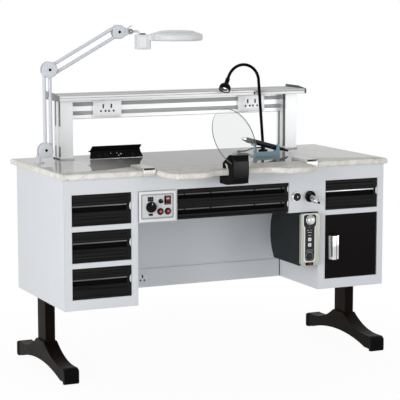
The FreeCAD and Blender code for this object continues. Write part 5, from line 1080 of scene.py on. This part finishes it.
# Duct outlet: one more three-pin outlet, let into the duct under the knee panel, with a near-black plate
# behind its slots as painted shade. A dark strip in the gap beside the duct is painted shade too.

duct_front = node_box("knee_panel")[0].y
plate = carve(flat_plate((-258, 298), (-214, 336), 3, (duct_front - 1.6, duct_front + 0.5), 0.5),
              joined(pin_slots(-236, 318, 0.95, (duct_front - 9, duct_front + 9))))
make_piece("duct_outlet", plate, enamel, "bench", 40)
# A near-black plate behind the slots paints the shade inside them.
back = flat_plate((-250, 303), (-222, 331), 2, (duct_front - 1.0, duct_front + 0.3))
make_piece("duct_slot_shade", back, window_black, "bench")
# A dark strip in the gap beside the duct is painted shade.
gap_shade = rounded_line([(386.4, duct_front - 1.2, 0.8), (389.8, duct_front - 1.2, 0.3), (389.8, duct_front + 6),
                     (386.4, duct_front + 6)])
make_piece("duct_gap_shade", prism(gap_shade, "z", (283, 352), 0.5), ink_dark, "bench")


# Desk socket: a black moulded wedge on a thin flange that lies on the stone, with a folding lid over
# its outlets. The sloped face carries three round outlets and four small ports, and a bright rim
# edges the flange.

socket_black = coated("socket_black", (0.009, 0.009, 0.0093), (0.012, 0.012, 0.0124), (0.016, 0.016, 0.016),
                      0.5, Specular_IOR_Level=0.0)
dress(socket_black, "desk_socket_lid")
# The sloped face runs from its foot to its head, as (depth, height).
SLOPE_FOOT = Vector((214, 802.9))
SLOPE_HEAD = Vector((241.5, 821.4))
line = rounded_line([(210.4, 800.1), (253.6, 800.1), (253.6, 803, 1), (247, 826, 3), (243.5, 828.4, 1.5),
                     (*SLOPE_HEAD, 1), (*SLOPE_FOOT, 2), (210.4, 802.4, 0.8)])
wedge = prism(line, "x", (-404, -186.4), 0.8)
base = make_piece("socket_wedge", wedge, socket_black, "bench", 30)
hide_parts("desk_socket_base")
barrel = lathe([(0, 0), (3.6, 0), (4.0, 0.6), (4.0, 213.4), (3.6, 214), (0, 214)], (-402, 248, 828),
               (1, 0, 0), 24)
make_piece("socket_barrel", barrel, socket_black, "bench", 40)
run = SLOPE_HEAD - SLOPE_FOOT
slope = (0, -run.y, run.x)


def on_slope(x, share):
    """Point in mm on the sloped face, with a share of the way up it."""
    return (x, *(SLOPE_FOOT + run * share))


rings = [lathe([(0, -0.4), (9.5, -0.4), (9.5, 0.2), (9.2, 0.4), (8.6, 0.4), (8.2, 0.1), (0, 0.1)],
               on_slope(x, 0.5), slope, 36)
         for x in (-372, -342, -226)]
make_piece("socket_rings", joined(rings), ink_dark, "bench", 40)
ports = [lathe([(0, -0.3), (reach, -0.3), (reach, 0.3), (0, 0.4)], on_slope(x, share), slope, 4)
         for x, share, reach in ((-319, 0.84, 2.6), (-293, 0.84, 2.6), (-277, 0.66, 4.4), (-290, 0.40, 3.4))]
make_piece("socket_ports", joined(ports), mark_white, "bench")
low, high = node_box("desk_socket_base")
outside = plate_line((low.x - 3, low.y - 3), (high.x + 3, high.y + 3), 2)
inside = plate_line((low.x + 1, low.y + 1), (high.x - 1, high.y - 1), 1)
rim = carve(prism(outside, "z", (low.z + 0.05, low.z + 1.6), 0.5),
            prism(inside, "z", (low.z - 1, low.z + 3)))
make_piece("socket_rim", rim, chrome, "bench")


# Magnifier lamp: turned and pressed steel with tube arms, enamelled pale grey-white. The arms are
# two parallel pairs, so the head stays level. Domed covers hide the joint pins, and a dark screw
# holds each pair of covers.

lamp_white = coated("lamp_white", (0.61, 0.63, 0.675), (0.63, 0.65, 0.695), (0.72, 0.73, 0.75), 0.36,
                    peel=700, depth=0.00002, fold=0.0005, vary=0.02, Specular_IOR_Level=0.35)
dress(lamp_white, "magnifier_base", "lower_bar_left", "lower_bar_right", "magnifier_elbow", "upper_bar_near",
      "upper_bar_far", "head_bracket")
dress(knob_black, "lamp_button")
low, high = node_box("magnifier_elbow")
elbow = (low + high) / 2
LAMP_Y = elbow.y
CHEEK = (high.y - low.y) / 2
for body, x, z, reach in (("lamp_swivel", -620, 850, 29.0), ("elbow", elbow.x, elbow.z, 31.4),
                          ("bracket", -306.7, 1309.9, 27.4)):
    covers, screws = [], []
    for way in (-1, 1):
        spot = (x, LAMP_Y + way * CHEEK, z)
        covers.append(lathe([(0, -0.5), (reach, -0.5), (reach, 0.6), (reach - 1.5, 1.6), (reach - 5, 2.4),
                             (0, 3)], spot, (0, way, 0), 56))
        screws.append(lathe([(0, 2), (5.6, 2), (5.6, 3.6), (4.6, 4.4), (2.6, 4.4), (2.2, 3.2), (0, 3.2)],
                            spot, (0, way, 0), 28))
    make_piece(f"{body}_covers", joined(covers), lamp_white, body, 25)
    make_piece(f"{body}_screws", joined(screws), knob_black, body, 40)
snout = rounded_line([(-314, 1335, 6), (-300, 1336, 8), (-264, 1320, 6), (-251, 1318, 6), (-249, 1304, 6),
                      (-262, 1302, 6), (-298, 1284, 8), (-314, 1286, 6)], 5)
snouts = [prism(snout, "y", span, 0.7) for span in ((164.4, 166), (190, 191.6))]
make_piece("bracket_snouts", joined(snouts), lamp_white, "bracket", 30)
PIN = (-260, 1311.5)
nut_grey = coated("nut_grey", (0.10, 0.105, 0.11), (0.14, 0.145, 0.15), (0.3, 0.3, 0.3), 0.35)
nut = carve(prism(fluted(PIN, 8.8, 0.9, 14, 6), "y", (157, 164.6), 1.0),
            prism(fluted(PIN, 5.0, 0.1, 6), "y", (150, 170)))
make_piece("bracket_nut", nut, nut_grey, "bracket")
bolt = lathe([(0, 0), (5.0, 0), (5.0, 5.6), (4.2, 6.6), (0, 7)], (PIN[0], 164.6, PIN[1]), FORWARD, 28)
lever = lathe([(0, 0), (2.6, 0), (2.2, 12), (2.8, 22), (2.4, 26), (0, 27)], (-279, 161.5, 1322),
              (0.83, 0, 0.45), 20)
make_piece("bracket_bolt", joined([bolt, lever]), lamp_white, "bracket", 40)
clip_grey = coated("clip_grey", (0.36, 0.37, 0.38), (0.40, 0.41, 0.42), (0.5, 0.5, 0.5), 0.4)
tongue = flat_plate((-616, 1060), (-610, 1084), 2, (168.5, 172.5), 0.8)
make_piece("arm_clip", tongue, clip_grey, "lower_left", 40)


# Lamp head: a moulded ring with a box for its ballast, hung on a bent rod, with a domed dust cover
# over the lens.

def hose(line, girths, count=14):
    """Tube through points in mm, with a radius at each of them."""
    shape = bmesh.new()
    round_trip = [2 * math.pi * step / count for step in range(count)]
    ways = [(after - before).normalized()
            for before, after in zip(line[:1] + line[:-1], line[1:] + line[-1:])]
    side = ways[0].orthogonal().normalized()
    rings = []
    for spot, way, girth in zip(line, ways, girths):
        side = (side - way * side.dot(way)).normalized()
        other = way.cross(side)
        rings.append([shape.verts.new((spot + girth * (side * math.cos(turn) + other * math.sin(turn))) * MM)
                      for turn in round_trip])
    for first, second in zip(rings, rings[1:]):
        for step in range(count):
            shape.faces.new((first[step - 1], first[step], second[step], second[step - 1]))
    for ring in (rings[0], rings[-1]):
        shape.faces.new(ring)
    bmesh.ops.recalc_face_normals(shape, faces=shape.faces)
    return shape


UP = (0, 0, 1)
head_white = coated("head_white", (0.72, 0.74, 0.75), (0.735, 0.755, 0.765), (0.80, 0.81, 0.82), 0.36,
                    peel=900, depth=0.00002, fold=0.0008, vary=0.02, Specular_IOR_Level=0.35)
low, high = node_box("magnifier_lens")
centre = ((low.x + high.x) / 2, LAMP_Y, low.z - 22)
ring = lathe([(65.8, 0), (100, 0), (104, 1.2), (107, 4.6), (108, 9), (108, 19), (106.6, 23.4), (103, 26.6),
              (95, 29.8), (84, 33), (72, 35.6), (65.8, 36), (65.8, 0)], centre, UP, 96)
ring = make_piece("head_ring", ring, head_white, "head", 34)
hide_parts("magnifier_head")
dome = lathe([(66, 37.2), (74, 35.4), (74, 36.6), (66, 38.4), (50, 40.2), (30, 41.3), (0, 41.8), (0, 40.4),
              (30, 40), (50, 38.9), (66, 37.2)], centre, UP, 72)
tab = prism(plate_line((9, 172), (21, 184), 2), "z", (1305.6, 1311), 1.0)
make_piece("head_cover", joined([dome, tab]), head_white, "head", 34)
box = prism(plate_line((-231, 156), (-172, 200), 9, 7), "z", (1239, 1298.4), 3.5, 4)
bridge = prism(plate_line((-186, 150.6), (-146, 205.4), 9, 6), "z", (1273.4, 1297.6), 3.0, 4)
make_piece("head_box", joined([box, bridge]), head_white, "head", 34)
# A lighter plate on the ballast box front is a painted highlight.
highlight_white = coated("highlight_white", (0.84, 0.855, 0.86), (0.86, 0.87, 0.875), (0.88, 0.88, 0.88), 0.3)
panel = flat_plate((-222, 1244), (-194, 1290), 4, (154.8, 156.4), 0.6)
make_piece("head_highlight_panel", panel, highlight_white, "head")
bend = [Vector((-228 + 11 * math.sin(turn), LAMP_Y, 1300 + 11 * math.cos(turn)))
        for turn in (math.radians(15 * step) for step in range(7))]
bend = [Vector((-258.7, LAMP_Y, 1311))] + bend + [Vector((-217, LAMP_Y, 1296))]
rod = hose(bend, [5.2] * len(bend), 20)
knuckle = lathe([(0, 0), (9.5, 0), (10.5, 1), (10.5, 15), (9.5, 16), (0, 16)], (-258.7, 170, 1310.9),
                (0, 1, 0), 32)
make_piece("head_rod", joined([rod, knuckle]), head_white, "head", 40)
lens_glass, loose = bare_finish("lens_glass")
smudge = mottle(loose, 20.0, 4.0).spread(0.35, 0.75, 0.8, 1.0)
close_tree(clear_pane(loose, (0.90, 0.92, 0.92), 0.02, 1.45, smudge))
dress(lens_glass, "magnifier_lens")


# Gooseneck lamp: a turned black foot, a self-holding ribbed steel hose and a turned bell with a
# small bright light in its mouth.

hose_black = coated("hose_black", (0.0015, 0.0015, 0.0016), (0.0025, 0.0025, 0.0027), (0.015, 0.015, 0.015),
                    0.40, Specular_IOR_Level=0.04)
low, high = node_box("gooseneck")
FOOT = Vector((high.x - 20, (low.y + high.y) / 2, low.z))
LEAN = math.radians(4.6)
PITCH = 0.8
place = FOOT + Vector((0, 0, 23))
way = Vector((-math.sin(LEAN), 0, math.cos(LEAN)))
spots = [place.copy()]
for length, radius, toward in ((279, None, None), (math.radians(146) * 71, 71, (-1, 0, 0)),
                               (math.radians(20) * 60, 60, FORWARD)):
    count = round(length / PITCH)
    half = Matrix.Identity(3)
    if radius:
        half = Matrix.Rotation(length / count / radius / 2, 3, way.cross(Vector(toward)).normalized())
    for step in range(count):
        way = half @ way
        place = place + way * (length / count)
        way = half @ way
        spots.append(place.copy())
girths = [6.5 - 0.7 * (step % 4 == 0) - 0.2 * (step % 2) for step in range(len(spots))]
make_piece("gooseneck_hose", hose(spots, girths), hose_black, "bench", 60)
foot = lathe([(0, 0), (20, 0), (20, 6.5), (19, 8.6), (17, 10), (11, 10.4), (9, 12), (9, 24), (8, 26),
              (5.2, 26), (0, 25)], FOOT, UP, 48)
foot = make_piece("gooseneck_foot", foot, knob_black, "bench", 40)
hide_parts("gooseneck")
bell = lathe([(0, 0), (6.8, 0), (8.6, 1.4), (9, 3.4), (9, 20), (9.6, 24), (11.6, 28), (17.0, 32.5),
              (21.4, 37), (23.5, 41.5), (24, 46), (24, 57.1), (23.4, 58), (22.2, 58), (21.6, 57.1),
              (21, 50), (14.4, 45.7), (0, 44.4)], place, way, 48)
bell = make_piece("gooseneck_bell", bell, hose_black, "bench", 40)
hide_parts("gooseneck_head")
mirror = lathe([(9, 46), (10.8, 46.6), (16.2, 50.5), (19.9, 55.3), (20.3, 55.3), (16.7, 49.6), (11, 45.7),
                (9, 46)], place, way, 40)
make_piece("gooseneck_mirror", mirror, chrome, "bench", 50)
led_white = lit_finish("led_white", 1.2, 700.0, ((0.8, 0.8, 0.8), (0.9, 0.9, 0.9)),
                       ((0.95, 0.97, 1.0), (1.0, 1.0, 1.0)))
chip = lathe([(0, 45), (7.6, 45), (7.6, 46.8), (5.5, 48.9), (0, 49.8)], place, way, 32)
make_piece("gooseneck_light", chip, led_white, "bench", 50)


# Lamp lead: a short round flex in a black rubber sheath, from the gooseneck's foot. It lies on the
# stone, with a small jack moulded on its end.

lead_black = coated("lead_black", (0.005, 0.005, 0.0053), (0.007, 0.007, 0.0075), (0.02, 0.02, 0.02), 0.45,
                    Specular_IOR_Level=0.14)
line = bpy.data.curves.new("lamp_lead_line", "CURVE")
line.dimensions = "3D"
line.bevel_depth = 0.003
line.bevel_resolution = 4
line.resolution_u = 16
line.use_fill_caps = True
run = line.splines.new("NURBS")
ROUTE = ((0.3385, 0.188, 0.818), (0.3095, 0.191, 0.818), (0.2875, 0.194, 0.81125), (0.2695, 0.197, 0.8045),
         (0.2525, 0.200, 0.8045))
run.points.add(len(ROUTE) - 1)
for point, spot in zip(run.points, ROUTE):
    point.co = (*spot, 1.0)
run.order_u = 3
run.use_endpoint_u = True
line.materials.append(lead_black)
lead = bpy.data.objects.new("lamp_lead_flex", line)
bpy.context.scene.collection.objects.link(lead)
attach(lead, "bench")
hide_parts("lamp_lead")
plug_way = (Vector(ROUTE[-1]) - Vector(ROUTE[-2])).normalized()
plug_at = Vector(ROUTE[-1]) * 1000
plug = lathe([(0, 0), (3.0, 0), (3.4, 2), (4.2, 5), (4.5, 6), (4.5, 17.5), (4.0, 18.4), (0, 18.4)],
             plug_at, plug_way, 28)
plug = make_piece("lead_jack", plug, lead_black, "bench", 40)
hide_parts("lead_plug")
pin = lathe([(0, 18), (2.6, 18), (2.6, 30), (2.0, 31), (2.6, 33), (2.4, 38), (1.2, 40.5), (0, 41)],
            plug_at, plug_way, 24)
pin = make_piece("lead_jack_pin", pin, chrome, "bench", 40)


# Cradle: one moulding of translucent light-blue plastic, a horned plate on a foot. It stands loose on
# the stone.

cradle_blue = coated("cradle_blue", (0.20, 0.335, 0.40), (0.225, 0.365, 0.43), (0.36, 0.50, 0.55), 0.3,
                     depth=0.00002, fold=0.0015, Specular_IOR_Level=0.4)
dress(cradle_blue, "handpiece_cradle")


# Handpiece: a turned motor body with a knurled grip, lying in the cradle. Its nose and collet are
# steel, and a ribbed rubber tail ends it.

tip = Vector((171.8, 43.5, 876.7))
slope, swing = math.radians(15.4), math.radians(6)
way = Vector((math.cos(slope) * math.cos(swing), math.cos(slope) * math.sin(swing), -math.sin(slope)))
grip_black = coated("grip_black", (0.006, 0.006, 0.0065), (0.009, 0.009, 0.0095), (0.05, 0.05, 0.05), 0.32,
                    Specular_IOR_Level=0.22)
bur = lathe([(0, 0), (0.7, 0.4), (1.4, 2), (1.5, 10.4), (0, 10.4)], tip, way, 20)
nose = lathe([(0, 9.6), (3.0, 9.6), (3.4, 10.1), (6.3, 11.2), (6.6, 12), (7.2, 17.6), (7.9, 23.2),
              (8.1, 24.8), (0, 24.8)], tip, way, 36)
piece = make_piece("handpiece_nose", joined([bur, nose]), chrome, "bench", 40)
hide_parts("handpiece")
BODY = 11
KNURL = 4.2
profile = [(0, 24.4), (8.0, 24.4), (8.6, 25.2), (9.8, 28.8), (10.8, 32), (BODY, 33.6)]
for step in range(14):
    start = 37 + KNURL * step
    profile += [(BODY, start), (10.4, start + 0.9), (10.4, start + 2.2), (BODY, start + 3.1)]
profile += [(BODY, 99), (10.5, 99.6), (10.5, 101), (BODY, 101.6), (BODY, 150), (10.4, 150.6), (10.4, 152.4),
            (BODY, 153), (BODY, 187), (10.6, 189.6), (8.6, 197), (8.2, 198.4), (0, 198.4)]
make_piece("handpiece_body", lathe(profile, tip, way, 40), grip_black, "bench", 35)
tail = [(0, 198), (7.4, 198), (7.2, 202)]
for step in range(9):
    start = 203 + KNURL * step
    girth = 6.4 - 2.2 * step / 8
    tail += [(girth, start), (girth, start + 2.4), (girth - 0.9, start + 2.7), (girth - 0.9, start + 3.9)]
tail += [(3.6, 241), (2.8, 242), (0, 242)]
make_piece("handpiece_tail", lathe(tail, tip, way, 28), lead_black, "bench", 35)


# Studio: a pale floor that fades into a white surround, and three broad soft lamps. The eye sees the
# surround brighter than the light that it throws on the bench.

def watched(loose):
    """Mask that is 1 for what the eye sees straight, in a mirror or through glass."""
    seen = loose.add("ShaderNodeLightPath", out="Is Camera Ray")
    bounced = loose.add("ShaderNodeLightPath", out="Is Glossy Ray")
    through = loose.add("ShaderNodeLightPath", out="Is Transmission Ray")
    return loose.maths("MINIMUM", seen + bounced + through, 1.0)


floor_mesh = bpy.data.meshes.new("floor")
shape = bmesh.new()
bmesh.ops.create_grid(shape, x_segments=8, y_segments=8, size=14.0)
shape.to_mesh(floor_mesh)
shape.free()
floor = bpy.data.objects.new("floor", floor_mesh)
floor.location.z = -0.0005
bpy.context.scene.collection.objects.link(floor)
floor_white, loose = bare_finish("floor_white")
place = loose.add("ShaderNodeTexCoord", out="Object")
far = loose.add("ShaderNodeVectorMath", {"operation": "LENGTH"}, {0: place}, out="Value")
matt = loose.add("ShaderNodeBsdfDiffuse", {}, {"Color": colour(0.89, 0.89, 0.89)})
plain = loose.add("ShaderNodeEmission", {}, {"Color": colour(1, 1, 1), "Strength": 1.0})
share = watched(loose) * far.spread(0.6, 1.5, 0.95, 1.0)
close_tree(loose.add("ShaderNodeMixShader", {}, {0: share, 1: matt, 2: plain}))
floor_mesh.materials.append(floor_white)

world = bpy.data.worlds.new("surround")
bpy.context.scene.world = world
world.use_nodes = True
world.node_tree.nodes.clear()
loose = Strand(world.node_tree)
light = watched(loose).spread(0, 1, 0.50, 1.0)
close_tree(loose.add("ShaderNodeBackground", {}, {"Color": colour(1, 1, 1), "Strength": light}),
           "ShaderNodeOutputWorld")

for name, at, size, power in (("key", (-4.3, -2.7, 1.4), 2.6, 119), ("fill", (2.8, -4.2, 1.3), 3.0, 45),
                              ("back", (-1.0, 3.2, 3.6), 3.0, 20)):
    light = bpy.data.lights.new(name, "AREA")
    light.shape = "DISK"
    light.size = size
    light.energy = power
    lamp = bpy.data.objects.new(name, light)
    lamp.location = at
    lamp.rotation_euler = (Vector((0, 0, 0.6)) - Vector(at)).to_track_quat("-Z", "Y").to_euler()
    bpy.context.scene.collection.objects.link(lamp)

eye = bpy.data.cameras.new("camera")
eye.lens = 147.9
eye.sensor_width = 36.0
camera = bpy.data.objects.new("camera", eye)
camera.location = (-2.7559, -5.9395, 1.5379)
camera.rotation_euler = (math.radians(90 - 7.825), 0.0, math.radians(-24.655))
bpy.context.scene.collection.objects.link(camera)
bpy.context.scene.camera = camera
bpy.context.scene.view_settings.view_transform = "Standard"

bpy.context.view_layer.update()
